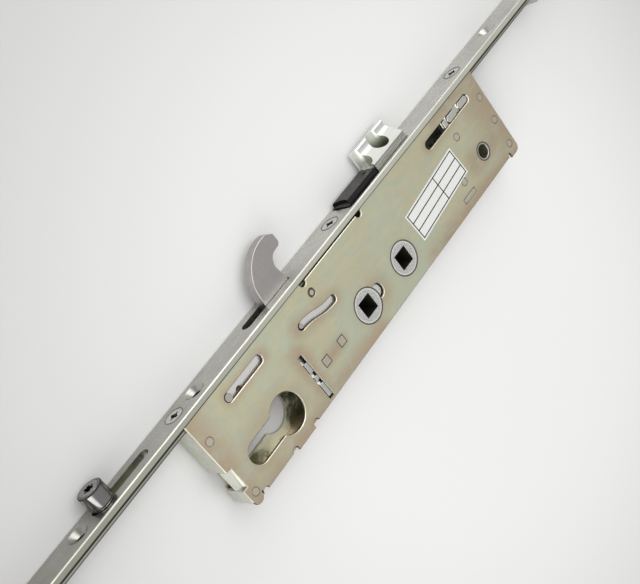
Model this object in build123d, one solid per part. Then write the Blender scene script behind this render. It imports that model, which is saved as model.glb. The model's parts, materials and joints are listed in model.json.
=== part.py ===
"""Centre case of a multipoint door lock with its faceplate, hook, latch, trigger and roller.

Millimetres. +X runs along the faceplate to the lock's upper end, +Y is the way the
bolts throw, +Z is up towards the cover plate. The origin is on the cylinder's axis,
half way through the case. The bolts are modelled thrown, as the lock lies locked.
"""
import os
from math import acos, asin, atan2, cos, degrees, hypot, pi, radians, sin, sqrt, tan

from build123d import *

# Case
BACKSET = 35.0              # cylinder axis to the faceplate's front
CASE_LOW_X = -36.6
CASE_HIGH_X = 186.7
CASE_REAR_Y = -13.5
CASE_THICK = 14.5
SHEET = 1.3                 # plate of the case
CLEAR = 0.3                 # gap between pieces that move past each other
SEAT = 0.02                 # gap of a piece fixed in its own hole
RUN = 0.05                  # radial play of a shaft that turns
HAIR = 0.1                  # gap between the case and the faceplate

# Faceplate
FACE_LOW_X = -160.0
FACE_HIGH_X = 294.0
FACE_WIDE = 16.0
FACE_THICK = 3.0
FACE_CORNER_R = 2.0
FACE_EDGE = 0.8
FIXING_X = (-152.0, -90.3, 217.7, 286.0)
FIXING_R = 2.5
FIXING_SINK_R = 4.8
CYL_SCREW_X = -20.5
CYL_SCREW_R = 2.6
CASE_SCREW_X = (-33.4, 76.8, 183.4)
CASE_SCREW_R = 1.75
CASE_SCREW_HEAD_R = 4.2
CASE_SCREW_LONG = 14.0
RECESS_LONG = 4.6
RECESS_WIDE = 1.1
RECESS_CONE_R = 1.5
RECESS_DEEP = 1.6
HOOK_SLOT_X = (12.9, 43.2)
HOOK_SLOT_WIDE = 5.7
NOSE_OPENING_X = (85.9, 135.1)
NOSE_OPENING_WIDE = 12.1

# Cylinder hole and spindle squares
CYL_R = 8.75
CYL_SLOT_WIDE = 10.5
CYL_SLOT_END = -25.3
FOLLOWER_X = (62.0, 92.0)
FOLLOWER_WINDOW_R = 7.75
FOLLOWER_FLANGE_R = 9.3
SQUARE = 8.0
LOBE_X = 70.4
LOBE_Y = 0.5
LOBE_R = 3.4

# Drive: rail behind the faceplate and two plates inside the case
TRAVEL = 20.0
RAIL_THICK = 2.5
RAIL_WIDE = 11.2
RAIL_LOW_X = (-143.0, 53.0)
RAIL_HIGH_X = (136.5, 260.0)
SLIDE_THICK = 2.2
SLIDE_LOW_X = -25.0
SLIDE_STEP_X = 53.0
SLIDE_UPPER_END = 133.5
SLIDE_LOWER_END = 156.0
SLIDE_RAIL_GAP = 0.6
SLIDE_TALL = 8.8
SLIDE_FLAT = 7.5
RACK_BACK = 3.0             # plate between the rack's roots and its upper edge
SLIDE_FOOT_X = 25.0
TAB_LOW = ((-16.0, -8.0), (45.5, 52.0))
TAB_HIGH = (140.0, 154.0)
RISER_X = 135.2
RISER_GAP = 0.7             # between the riser and the rivet that it passes
GUIDE_PIN_XY = (-14.5, BACKSET - 10.0)
GUIDE_PIN_R = 1.8
GUIDE_SHOULDER_R = 3.0
GUIDE_SLOT_WIDE = 4.0
SPACER_X = 76.8
SPACER_IN = 3.8             # from the flat plate's lower edge
SPACER_R = 2.0
HALF_MOON_XY = (-8.2, BACKSET - 12.4)
HALF_MOON_R = 1.9

# Roller
ROLLER_X = -76.0
ROLLER_R = 5.5
ROLLER_TOP = 8.2            # above the faceplate's front
ROLLER_SLOT_WIDE = 6.0
STUD_FOOT_R = 2.6
STUD_R = 3.7
STUD_LIP_R = 4.3
STUD_LIP = 0.7
WASHER_R = 5.0
WASHER_THICK = 0.4
STAR_R = 2.3

# Hook
PIVOT_XY = (44.1, BACKSET - 10.0)
PIVOT_R = 2.0
PIVOT_END_R = 1.75
HOOK_THICK = 5.0
HOOK_BOSS_R = 3.9
HOOK_LOBE_R = 4.4
HOOK_STEPS = 20             # short pieces of the pin's window in the hook
HOOK_BASE_X = (-17.9, -1.8)             # hook outline from the pivot's X and the faceplate's front
HOOK_BACK = (-17.1, 6.5)
HOOK_CROWN = (-10.2, 16.8)
HOOK_NOSE = ((1.6, 12.4), (4.6, 12.6), (5.9, 14.0), (5.9, 18.0), (3.0, 20.1))
HOOK_THROAT = ((-2.7, 7.5), (-1.3, 10.9))
DRIVE_PIN_X = 30.3
DRIVE_PIN_IN = 5.8          # from the flat plate's lower edge
DRIVE_PIN_DROP = 4.2        # how far the pin sinks over the whole travel
DRIVE_PIN_R = 1.15
CAM_SLOT_WIDE = 3.4
CAM_SLOT_LOW = 0.3          # how far its start lies below the drive pin
CAM_SLOT_BULGE = 0.5        # how far each half of the S stands off its chord
CAM_SLOT_DROP = 3.6

# Rack and toothed sector of the lower follower
GEAR_MODULE = 2.0
GEAR_R = 16.0
GEAR_TEETH = 16
PRESSURE = radians(20.0)
ADDENDUM = 0.8 * GEAR_MODULE
DEDENDUM = 1.0 * GEAR_MODULE
THINNED = 0.12              # taken off each flank for backlash
SECTOR_TEETH = range(-1, 5)
RACK_TEETH = range(-5, 2)

# Latch, trigger and what drives them
LATCH_X = (110.4, 134.4)
LATCH_WIDE = 11.2
LATCH_BODY_WIDE = 5.8
LATCH_LAND = 3.6            # flat side above the faceplate before the bevel
LATCH_BEVEL_TOP = 7.6
LATCH_TIP = 11.2            # reach above the faceplate
LATCH_RIDGE_Z = -2.6
LATCH_HOLLOW_R = 3.0        # hollow between the bevel and the ridge
LATCH_GROOVES = (1.1, 2.2)  # fine lines along the flat side, above the faceplate
LATCH_GROOVE = 0.2
LATCH_TRAVEL = 11.4
LATCH_POCKET_R = 4.1
LATCH_POCKET_X = 124.3
LATCH_POCKET_FLOOR = 2.2    # above the faceplate
LATCH_BODY_Y = 14.0
LATCH_STEM_X = (113.6, 117.0)
LATCH_LUG_X = 109.2
LATCH_LUG = 2.15
ARM_R = 20.0
ARM_TIP_R = 2.0
ARM_WIDE = 2.8
ARM_GAP = 0.15
TRIGGER_X = (86.5, 109.9)
TRIGGER_TOP = 2.3
TRIGGER_LEAN = 1.4
TRIGGER_ROOM = 3.0          # between its foot and the slide's plates
TRIGGER_BEVEL = 1.5         # on the cover's side
TRIGGER_EDGE = 0.4
TRIGGER_DIMPLE = (107.3, 1.1, 0.4)      # X, radius, depth
TRIGGER_DISH_R = 9.0        # hollow of the low end, seen from the front
TRIGGER_DISH = 1.5          # how far it runs into the top
TRIGGER_DISH_FOOT = 0.5     # where it stops above the faceplate

# Springs
LATCH_SPRING = (124.3, 2.6, 0.9)        # X, coil radius, wire
LATCH_TURNS = 8
TRIGGER_SPRING = (104.0, 2.1, 0.7)
TRIGGER_TURNS = 5
SEAT_THICK = 2.4
TRIGGER_SEAT_Y = 13.0

# Locking bar moved by the cylinder's cam
BAR_SLOT_X = (19.2, 21.8)
BAR_SLOT_Y = (-11.8, 11.2)
BAR_RIB_Y = (-10.9, 7.2)
BAR_BASE_X = (18.6, 22.4)
BAR_SHORT = 2.2             # between its top and the slide plate that it locks
BAR_THICK = 1.5
BAR_LUG_X = 14.5
BAR_NOTCHES_Y = ((0.0, 2.2), (-4.2, -2.1))
BAR_NOTCH_DEEP = 1.8        # of the slide plate's notches for the bar

# Cover details
COVER_BACK_X = (43.5, 86.6)     # stretch of the front edge that is set back
COVER_BACK = 0.8
RELIEF_R = 1.8
UPPER_SLOT_X = (138.5, 176.5)
UPPER_SLOT_Y = BACKSET - 10.4
UPPER_SLOT_WIDE = 4.1
BRACKET_X = (154.2, 178.0)
BRACKET_Y = (UPPER_SLOT_Y - 3.1, UPPER_SLOT_Y + 4.0)
NUB_X = ((154.6, 157.4), (158.1, 165.8), (168.3, 176.2))    # what stands up into the upper slot
NUB_WIDE = 3.3
NUB_LOW = 0.5               # how far the last one stays below the cover's face
SQUARE_PILLAR_XY = ((29.2, 0.1), (40.8, 0.1))
PILLAR_SQUARE = 3.7
RIVET_XY = ((-32.6, -9.5), (157.0, BACKSET - 19.1), (182.9, 5.6), (182.5, -8.6), (145.5, -1.5))
RIVET_R = 1.7
PILLAR_R = 2.4
STAKE_X = (139.0, 148.4)
STAKE_Y = (-9.6, -7.2)
BUSH_XY = (165.8, 0.2)
BUSH_R = 3.3
BUSH_OUTER_R = 4.2
BLOCK_PEG_XY = ((-32.7, BACKSET - 15.2), None, (182.8, BACKSET - 15.9))
BLOCK_PEG_R = 1.7
BLOCK_X = ((-35.2, -28.5), (73.8, 79.8), (178.4, 185.2))
LABEL_CENTRE = (128.1, 6.15)
LABEL_SIZE = (44.0, 15.2)
LABEL_TURN = 4.8
LABEL_THICK = 0.15
REAR_TAB = 1.2
CORNER_LUG_X = (-36.6, -30.5)
REAR_NOTCHES = ((-30.3, -27.0), (-9.5, -6.3), (5.7, 9.0), (177.8, 179.3))
LOW_TAB_X = (REAR_NOTCHES[1][1], REAR_NOTCHES[2][0])
HIGH_TAB_X = (REAR_NOTCHES[3][1], CASE_HIGH_X)
NOTCH_DEEP = 1.6
END_NOTCH_X = -34.0
END_NOTCH_Y = (-5.2, 5.6)
END_TAB_FOOT_Z = 1.8        # where the sloping tab in the notch ends
END_TAB_GAP = 0.4
SKIRT_CORNER = 2.0          # cut off the skirt's lower corner beside the notch
HIGH_CORNER_R = 3.0
HIGH_CORNER_INSET = 1.0
RAIL_GUIDE_X = ((-121.0, -113.0), (250.0, 258.0))
RAIL_GUIDE_THICK = 2.2

# Worked out
FACE_REAR = BACKSET - FACE_THICK
HALF = CASE_THICK / 2
INNER = HALF - SHEET
CASE_FRONT = FACE_REAR - HAIR
RAIL_Y = (FACE_REAR - CLEAR - RAIL_THICK, FACE_REAR - CLEAR)
FLANGE = INNER - 0.2
LAYER_OUT = RAIL_WIDE / 2
LAYER_IN = LAYER_OUT - SLIDE_THICK
SLIDE_TALL_Y = (RAIL_Y[0] - SLIDE_RAIL_GAP - SLIDE_TALL, RAIL_Y[0] - SLIDE_RAIL_GAP)
RACK_ROOT_Y = GEAR_R + DEDENDUM
SLIDE_FLAT_Y = (RACK_ROOT_Y + RACK_BACK - SLIDE_FLAT, RACK_ROOT_Y + RACK_BACK)
SPACER_XY = (SPACER_X, SLIDE_FLAT_Y[0] + SPACER_IN)
RISER_Y = RIVET_XY[1][1] + PILLAR_R + RISER_GAP
TRIGGER_FOOT_Y = SLIDE_FLAT_Y[1] + TRIGGER_ROOM
BAR_TOP_Y = SLIDE_TALL_Y[0] - BAR_SHORT
NOTCH_TOP_Y = SLIDE_TALL_Y[0] + BAR_NOTCH_DEEP
DRIVE_PIN_XY = (DRIVE_PIN_X, SLIDE_FLAT_Y[0] + DRIVE_PIN_IN)
CAM_SLOT_START = (DRIVE_PIN_X, DRIVE_PIN_XY[1] - CAM_SLOT_LOW)
PIN_REST = (DRIVE_PIN_XY[0] - PIVOT_XY[0], DRIVE_PIN_XY[1] - PIVOT_XY[1])
PIN_END = (PIN_REST[0] + TRAVEL, PIN_REST[1] - DRIVE_PIN_DROP)
HOOK_TURN = (atan2(PIN_END[1], PIN_END[0]) - atan2(PIN_REST[1], PIN_REST[0])) % (2 * pi)
ARM_ANGLE = asin(LATCH_TRAVEL / 2 / ARM_R)
ARM_TIP = (FOLLOWER_X[1] + ARM_R * cos(ARM_ANGLE), ARM_R * sin(ARM_ANGLE))
LUG_TOP = ARM_TIP[1] - ARM_TIP_R - ARM_GAP
SLOT_PLAY = FIXING_R + 0.4
PITCH = pi * GEAR_MODULE
BASE_R = GEAR_R * cos(PRESSURE)
BAR_X = (BAR_SLOT_X[0] + BAR_SLOT_X[1]) / 2


# Plain shapes

def block(x, y, z):
    """A box between three pairs of limits."""
    size = (x[1] - x[0], y[1] - y[0], z[1] - z[0])
    return Pos(x[0], y[0], z[0]) * Box(*size, align=(Align.MIN,) * 3)


def disc(xy, r, z):
    """A cylinder along Z."""
    tall = Cylinder(r, z[1] - z[0], align=(Align.CENTER, Align.CENTER, Align.MIN))
    return Pos(xy[0], xy[1], z[0]) * tall


def rod(x, r, y, z=0.0):
    """A cylinder along Y."""
    long = Cylinder(r, y[1] - y[0], align=(Align.CENTER, Align.CENTER, Align.MIN))
    return Pos(x, y[0], z) * Rot(-90, 0, 0) * long


def cone(x, r0, r1, y, z=0.0):
    """A cone along Y, r0 at the low end."""
    solid = Cone(r0, r1, y[1] - y[0], align=(Align.CENTER, Align.CENTER, Align.MIN))
    return Pos(x, y[0], z) * Rot(-90, 0, 0) * solid


def flat(points, z):
    """A plate with a straight-edged outline."""
    face = make_face(Polyline(*points, close=True))
    return Pos(0, 0, z[0]) * extrude(face, z[1] - z[0])


def pill(a, b, r, z):
    """A round-ended slot or bar from a to b."""
    dx, dy = b[0] - a[0], b[1] - a[1]
    long = hypot(dx, dy)
    bar = Pos((a[0] + b[0]) / 2, (a[1] + b[1]) / 2, (z[0] + z[1]) / 2)
    bar = bar * Rot(0, 0, degrees(atan2(dy, dx))) * Box(long, 2 * r, z[1] - z[0])
    return bar + disc(a, r, z) + disc(b, r, z)


def slot(x, y, wide, z):
    """A round-ended slot along X whose ends reach x[0] and x[1]."""
    r = wide / 2
    return pill((x[0] + r, y), (x[1] - r, y), r, z)


def rail_slot(x, half, y):
    """A square-ended slot through the rail for something fixed at x."""
    return block((x - TRAVEL - half, x + half), y, (-half, half))


# Faceplate and its screws

def countersink(x, r, sink_r):
    deep = min(sink_r - r, FACE_THICK)
    hole = rod(x, r, (FACE_REAR - 1, BACKSET + 1))
    return hole + cone(x, r, sink_r, (BACKSET - deep, BACKSET)) + rod(x, sink_r, (BACKSET, BACKSET + 1))


def make_faceplate():
    strip = block((FACE_LOW_X, FACE_HIGH_X), (FACE_REAR, BACKSET), (-FACE_WIDE / 2, FACE_WIDE / 2))
    strip = fillet(strip.edges().filter_by(Axis.Y), FACE_CORNER_R)
    front = strip.faces().sort_by(Axis.Y)[-1]
    strip = fillet(front.edges(), FACE_EDGE)
    for x in FIXING_X:
        strip -= countersink(x, FIXING_R, FIXING_SINK_R)
    strip -= countersink(CYL_SCREW_X, CYL_SCREW_R, FIXING_SINK_R)
    for x in CASE_SCREW_X:
        strip -= countersink(x, CASE_SCREW_R + SEAT, CASE_SCREW_HEAD_R + SEAT)
    through = (FACE_REAR - 1, BACKSET + 1)
    half = ROLLER_SLOT_WIDE / 2
    reach = STUD_FOOT_R + CLEAR
    low, high = ROLLER_X - reach, ROLLER_X + TRAVEL + reach
    strip -= block((low, high), through, (-half, half))
    strip -= rod(low, half, through) + rod(high, half, through)
    round_r = HOOK_SLOT_WIDE / 2
    strip -= block((HOOK_SLOT_X[0] + round_r, HOOK_SLOT_X[1]), through, (-round_r, round_r))
    strip -= rod(HOOK_SLOT_X[0] + round_r, round_r, through)
    strip -= block(NOSE_OPENING_X, through, (-NOSE_OPENING_WIDE / 2, NOSE_OPENING_WIDE / 2))
    return strip


def make_case_screw(x, deep_y):
    deep = min(CASE_SCREW_HEAD_R - CASE_SCREW_R, FACE_THICK)
    screw = rod(x, CASE_SCREW_R, (deep_y, BACKSET - deep))
    screw += cone(x, CASE_SCREW_R, CASE_SCREW_HEAD_R, (BACKSET - deep, BACKSET))
    cut = (BACKSET - RECESS_DEEP, BACKSET + 1)
    long, wide = RECESS_LONG / 2, RECESS_WIDE / 2
    screw -= block((x - long, x + long), cut, (-wide, wide))
    screw -= block((x - wide, x + wide), cut, (-long, long))
    return screw - cone(x, wide, RECESS_CONE_R, (cut[0], BACKSET)) - rod(x, RECESS_CONE_R, (BACKSET, cut[1]))


def screw_block_y(i):
    """The outer blocks stop behind the rail, the middle one reaches the faceplate."""
    if BLOCK_PEG_XY[i] is None:
        return (SLIDE_FLAT_Y[1] + 2.2, CASE_FRONT)
    return (BLOCK_PEG_XY[i][1] - BLOCK_PEG_R - 1.3, RAIL_Y[0] - CLEAR)


def make_screw_block(i):
    y = screw_block_y(i)
    body = block(BLOCK_X[i], y, (-INNER, INNER))
    if BLOCK_PEG_XY[i]:
        body += disc(BLOCK_PEG_XY[i], BLOCK_PEG_R, (-HALF, HALF))
    return body - rod(CASE_SCREW_X[i], CASE_SCREW_R + SEAT, (y[0] - 1, y[1] + 1))


# Case: tray below, cover above

def windows(z):
    """What both plates are pierced with."""
    cut = disc((0, 0), CYL_R, z)
    cut += slot((CYL_SLOT_END, CYL_SLOT_WIDE / 2), 0, CYL_SLOT_WIDE, z)
    for x in FOLLOWER_X:
        cut += disc((x, 0), FOLLOWER_WINDOW_R, z)
    for xy in SQUARE_PILLAR_XY:
        half = PILLAR_SQUARE / 2 + SEAT
        cut += block((xy[0] - half, xy[0] + half), (xy[1] - half, xy[1] + half), z)
    for xy in RIVET_XY:
        cut += disc(xy, RIVET_R + SEAT, z)
    for xy in BLOCK_PEG_XY:
        if xy:
            cut += disc(xy, BLOCK_PEG_R + SEAT, z)
    cut += disc(BUSH_XY, BUSH_OUTER_R + SEAT, z)
    cut += disc(PIVOT_XY, PIVOT_END_R + SEAT, z)
    cut += block((STAKE_X[0] - SEAT, STAKE_X[1] + SEAT), (STAKE_Y[0] - SEAT, STAKE_Y[1] + SEAT), z)
    reach = GUIDE_PIN_R + CLEAR
    x, y = GUIDE_PIN_XY
    return cut + slot((x - reach, x + TRAVEL + reach), y, GUIDE_SLOT_WIDE, z)


def make_tray():
    plate = block((CASE_LOW_X + SHEET + HAIR, CASE_HIGH_X), (CASE_REAR_Y, CASE_FRONT), (-HALF, -INNER))
    plate = fillet(plate.edges().filter_by(Axis.Z).sort_by(lambda edge: edge.center().X - edge.center().Y)[-1],
                   HIGH_CORNER_R - HIGH_CORNER_INSET)
    wall_x = (REAR_NOTCHES[0][1], REAR_NOTCHES[-1][0])
    tray = plate + block(wall_x, (CASE_REAR_Y, CASE_REAR_Y + SHEET), (-INNER, INNER))
    through = (-HALF - 1, -INNER + 0.01)
    tray -= block((CASE_LOW_X, END_NOTCH_X + CLEAR), END_NOTCH_Y, through)
    return tray - windows(through)


def cam_slot(z):
    """The S-shaped slot of the drive pin: two equal arcs, one bulging up and one down."""
    start = CAM_SLOT_START
    middle = (start[0] + TRAVEL / 2, start[1] - CAM_SLOT_DROP / 2)
    end = (start[0] + TRAVEL, start[1] - CAM_SLOT_DROP)
    slot_face = None
    for a, b, side in ((start, middle, 1), (middle, end, -1)):
        over = ((a[0] + b[0]) / 2, (a[1] + b[1]) / 2 + side * CAM_SLOT_BULGE)
        half = SlotArc(ThreePointArc(a, over, b), CAM_SLOT_WIDE)
        slot_face = half if slot_face is None else slot_face + half
    return Pos(0, 0, z[0]) * extrude(slot_face, z[1] - z[0])


def corner_skirt(centre, r, z):
    """The wall that runs round the low corner's lug to the end notch."""
    skirt = disc(centre, r, z) - disc(centre, r - SHEET, z)
    skirt -= block((centre[0], centre[0] + r + 1), (centre[1] - r - 1, centre[1] + r + 1), z)
    skirt -= block((centre[0] - r - 1, centre[0]), (centre[1], centre[1] + r + 1), z)
    end = END_NOTCH_Y[0]
    straight = [(centre[1], z[1]), (centre[1], z[0]), (end - SKIRT_CORNER, z[0]), (end, z[0] + SKIRT_CORNER),
                (end, z[1])]
    face = Plane.YZ * make_face(Polyline(*straight, close=True))
    return skirt + Pos(CASE_LOW_X, 0, 0) * extrude(face, SHEET)


def end_tab():
    """The tab that slopes down and out from the bottom of the end notch."""
    fall = (CASE_LOW_X - END_NOTCH_X, END_TAB_FOOT_Z - HALF)
    long = hypot(*fall)
    inward = (-fall[1] / long * SHEET, fall[0] / long * SHEET)
    outer = [(END_NOTCH_X, HALF), (CASE_LOW_X, END_TAB_FOOT_Z)]
    inner = [(x + inward[0], z + inward[1]) for x, z in reversed(outer)]
    face = Plane.XZ * make_face(Polyline(*outer, *inner, (inner[-1][0], HALF), close=True))
    high = END_NOTCH_Y[1] - END_TAB_GAP
    return Pos(0, high, 0) * extrude(face, high - END_NOTCH_Y[0])


def make_cover():
    above = (INNER, HALF)
    through = (INNER - 1, HALF + 1)
    deep = (-INNER + HAIR, INNER)
    cover = block((CASE_LOW_X, CASE_HIGH_X), (CASE_REAR_Y, CASE_FRONT), above)
    for x in (LOW_TAB_X, HIGH_TAB_X):
        cover += block(x, (CASE_REAR_Y - REAR_TAB, CASE_REAR_Y + 1), above)
    corner = (CASE_HIGH_X - HIGH_CORNER_R, CASE_REAR_Y - REAR_TAB + HIGH_CORNER_R)
    cover -= block((corner[0], CASE_HIGH_X + 1), (corner[1] - HIGH_CORNER_R - 1, corner[1]), through)
    cover += disc(corner, HIGH_CORNER_R, above)
    lug_r = (CORNER_LUG_X[1] - CORNER_LUG_X[0]) / 2
    lug_xy = (CORNER_LUG_X[0] + lug_r, CASE_REAR_Y - REAR_TAB + lug_r)
    for x in REAR_NOTCHES:
        r = (x[1] - x[0]) / 2
        top, foot = CASE_REAR_Y + NOTCH_DEEP - r, CASE_REAR_Y - REAR_TAB - 1
        cover -= pill((x[0] + r, top), (x[0] + r, foot), r, through)
    cover -= block((CASE_LOW_X - 1, CORNER_LUG_X[1] + 0.2), (CASE_REAR_Y - 2, lug_xy[1]), through)
    cover += disc(lug_xy, lug_r, above)
    cover -= block((CASE_LOW_X - 1, END_NOTCH_X), END_NOTCH_Y, through)
    cover -= block(COVER_BACK_X, (CASE_FRONT - COVER_BACK, CASE_FRONT + 1), through)
    for x in COVER_BACK_X:
        cover -= disc((x, CASE_FRONT - COVER_BACK), RELIEF_R, through)
    front = RAIL_Y[0] - CLEAR
    cover += block((CASE_LOW_X, CASE_LOW_X + SHEET), (END_NOTCH_Y[1], front), deep)
    cover += block((CASE_HIGH_X - SHEET, CASE_HIGH_X), (corner[1], front), deep)
    cover += corner_skirt(lug_xy, lug_r, deep) + end_tab()
    cover -= windows(through)
    cover -= disc((LOBE_X, LOBE_Y), LOBE_R, through)
    cover -= cam_slot(through)
    cover -= slot(UPPER_SLOT_X, UPPER_SLOT_Y, UPPER_SLOT_WIDE, through)
    cover -= block(BAR_SLOT_X, BAR_SLOT_Y, through)
    return cover


def make_rivet(xy):
    return disc(xy, RIVET_R, (-HALF, HALF)) + disc(xy, PILLAR_R, (-INNER, INNER))


def make_square_pillar(xy):
    half = PILLAR_SQUARE / 2
    pillar = block((xy[0] - half, xy[0] + half), (xy[1] - half, xy[1] + half), (-HALF, HALF))
    return pillar + disc(xy, half + 0.9, (-INNER, INNER))


def make_stake():
    grow = 0.6
    stake = block(STAKE_X, STAKE_Y, (-HALF, HALF))
    inner_x, inner_y = (STAKE_X[0] + grow, STAKE_X[1] - grow), (STAKE_Y[0] - grow, STAKE_Y[1] + grow)
    return stake + block(inner_x, inner_y, (-INNER, INNER))


def make_bush():
    bush = disc(BUSH_XY, BUSH_OUTER_R, (-HALF, HALF)) + disc(BUSH_XY, BUSH_OUTER_R + 0.8, (-INNER, INNER))
    return bush - disc(BUSH_XY, BUSH_R, (-HALF - 1, HALF + 1))


def make_guide_bracket():
    """The bracket behind the upper slot, with a foot and two rounded nubs standing in the slot."""
    bracket = block(BRACKET_X, BRACKET_Y, (LAYER_IN, INNER))
    foot_x, middle_x, end_x = NUB_X
    half = NUB_WIDE / 2
    bracket += block(foot_x, (UPPER_SLOT_Y - half, UPPER_SLOT_Y + half), (INNER, HALF - HAIR))
    bracket += slot(middle_x, UPPER_SLOT_Y, NUB_WIDE, (INNER, HALF - HAIR))
    return bracket + slot(end_x, UPPER_SLOT_Y, NUB_WIDE, (INNER, HALF - NUB_LOW))


def make_label():
    sheet = Box(*LABEL_SIZE, LABEL_THICK, align=(Align.CENTER, Align.CENTER, Align.MIN))
    return Pos(LABEL_CENTRE[0], LABEL_CENTRE[1], HALF) * Rot(0, 0, LABEL_TURN) * sheet


# Drive rail, plates and roller

def make_rail_low():
    rail = block(RAIL_LOW_X, RAIL_Y, (-LAYER_OUT, LAYER_OUT))
    cut = (RAIL_Y[0] - 1, RAIL_Y[1] + 1)
    rail -= rail_slot(FIXING_X[1], SLOT_PLAY, cut)
    rail -= block((CASE_SCREW_X[0] - TRAVEL - SLOT_PLAY, CYL_SCREW_X + SLOT_PLAY), cut, (-SLOT_PLAY, SLOT_PLAY))
    hook_half = HOOK_THICK / 2 + CLEAR + 0.1
    rail -= block((HOOK_SLOT_X[0] - TRAVEL, HOOK_SLOT_X[1] + CLEAR), cut, (-hook_half, hook_half))
    rail -= rod(ROLLER_X, STUD_FOOT_R + SEAT, cut)
    for x in TAB_LOW:
        rail -= tabs(x, cut, SEAT)
    return rail


def tabs(x, y, grow=0.0):
    """The plates' lugs in the rail's sides, or the notches that hold them."""
    span = (x[0] - grow, x[1] + grow)
    high = block(span, y, (LAYER_IN - grow, LAYER_OUT + grow))
    return high + block(span, y, (-LAYER_OUT - grow, -LAYER_IN + grow))


def make_rail_high():
    rail = block(RAIL_HIGH_X, RAIL_Y, (-LAYER_OUT, LAYER_OUT))
    cut = (RAIL_Y[0] - 1, RAIL_Y[1] + 1)
    rail -= rail_slot(CASE_SCREW_X[2], CASE_SCREW_R + CLEAR, cut)
    rail -= rail_slot(FIXING_X[2], SLOT_PLAY, cut)
    return rail - block((TAB_HIGH[0] - SEAT, TAB_HIGH[1] + SEAT), cut, (-LAYER_OUT - 1, -LAYER_IN + SEAT))


def tall_part(z):
    """The end of a slide plate below the hook, with its lugs."""
    plate = block((SLIDE_LOW_X, SLIDE_STEP_X), SLIDE_TALL_Y, z)
    for x in TAB_LOW:
        plate += block(x, (SLIDE_TALL_Y[1], RAIL_Y[1]), z)
    return plate


def slide_holes(z):
    """The pivot's slot and the holes of the guide pin and the spacer."""
    holes = pill((PIVOT_XY[0] - TRAVEL, PIVOT_XY[1]), PIVOT_XY, PIVOT_R + CLEAR, z)
    return holes + disc(GUIDE_PIN_XY, GUIDE_PIN_R + SEAT, z) + disc(SPACER_XY, SPACER_R / 2 + SEAT, z)


def make_slide_upper():
    z = (LAYER_IN, LAYER_OUT)
    through = (z[0] - 1, z[1] + 1)
    plate = tall_part(z) + block((SLIDE_FOOT_X, SLIDE_STEP_X), (SLIDE_FLAT_Y[0], SLIDE_TALL_Y[1]), z)
    plate += block((SLIDE_FOOT_X, SLIDE_UPPER_END), SLIDE_FLAT_Y, z)
    play = CLEAR + DRIVE_PIN_R
    low = (DRIVE_PIN_XY[0], DRIVE_PIN_XY[1] - DRIVE_PIN_DROP)
    plate -= pill(low, DRIVE_PIN_XY, play, through)
    half = (BAR_BASE_X[1] - BAR_BASE_X[0]) / 2 + CLEAR
    for x in (BAR_X, BAR_X - TRAVEL):
        plate -= block((x - half, x + half), (SLIDE_TALL_Y[0] - 1, NOTCH_TOP_Y), through)
    return plate - disc(HALF_MOON_XY, HALF_MOON_R, through) - slide_holes(through)


def rack_tooth(k):
    """One straight-sided tooth below the lower plate's pitch line."""
    x = FOLLOWER_X[0] + (k + 0.5) * PITCH
    mid = PITCH / 4 - THINNED
    tip, root = mid - ADDENDUM * tan(PRESSURE), mid + DEDENDUM * tan(PRESSURE)
    return [(x - root, RACK_ROOT_Y), (x - tip, GEAR_R - ADDENDUM), (x + tip, GEAR_R - ADDENDUM),
            (x + root, RACK_ROOT_Y)]


def make_slide_lower():
    z = (-LAYER_OUT, -LAYER_IN)
    plate = tall_part(z)
    rack_low = FOLLOWER_X[0] + RACK_TEETH[0] * PITCH
    rack_high = FOLLOWER_X[0] + (RACK_TEETH[-1] + 1) * PITCH
    plate += block((rack_low, SLIDE_STEP_X), (RACK_ROOT_Y, SLIDE_TALL_Y[1]), z)
    flat_low, flat_high = SLIDE_FLAT_Y
    outline = [(rack_low, flat_high), (rack_low, RACK_ROOT_Y), (rack_high, RACK_ROOT_Y), (rack_high, flat_low),
               (RISER_X - 2, flat_low), (RISER_X - 2, RISER_Y), (SLIDE_LOWER_END, RISER_Y),
               (SLIDE_LOWER_END, SLIDE_TALL_Y[1]), (TAB_HIGH[1], SLIDE_TALL_Y[1]), (TAB_HIGH[1], RAIL_Y[1]),
               (TAB_HIGH[0], RAIL_Y[1]), (TAB_HIGH[0], SLIDE_TALL_Y[1]), (RISER_X, SLIDE_TALL_Y[1]),
               (RISER_X, flat_high)]
    plate += flat(outline, z)
    for k in RACK_TEETH:
        plate += flat(rack_tooth(k), z)
    return plate - slide_holes((z[0] - 1, z[1] + 1))


def make_guide_pin():
    end = HALF - HAIR
    inner = LAYER_IN - SEAT
    return disc(GUIDE_PIN_XY, GUIDE_PIN_R, (-end, end)) + disc(GUIDE_PIN_XY, GUIDE_SHOULDER_R, (-inner, inner))


def make_spacer():
    inner = LAYER_IN - SEAT
    return disc(SPACER_XY, SPACER_R / 2, (-LAYER_OUT, LAYER_OUT)) + disc(SPACER_XY, SPACER_R, (-inner, inner))


def star(x, r, y):
    """A six-pointed key recess along Y."""
    cut = None
    for k in range(3):
        bar = Pos(x, (y[0] + y[1]) / 2, 0) * Rot(0, 60 * k, 0) * Box(2 * r, y[1] - y[0], 0.62 * r)
        cut = bar if cut is None else cut + bar
    return cut


WASHER_Y = (BACKSET + CLEAR, BACKSET + CLEAR + WASHER_THICK)
ROLLER_Y = (WASHER_Y[1] + 0.15, BACKSET + ROLLER_TOP - 0.15)
STUD_TOP = BACKSET + ROLLER_TOP


def make_roller_stud():
    stud = rod(ROLLER_X, STUD_FOOT_R, (RAIL_Y[0] - 0.2, WASHER_Y[1]))
    stud += rod(ROLLER_X, STUD_R, (WASHER_Y[1], STUD_TOP))
    stud += rod(ROLLER_X, STUD_LIP_R, (STUD_TOP - STUD_LIP, STUD_TOP))
    return stud - star(ROLLER_X, STAR_R, (STUD_TOP - 3.0, STUD_TOP + 1))


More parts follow.
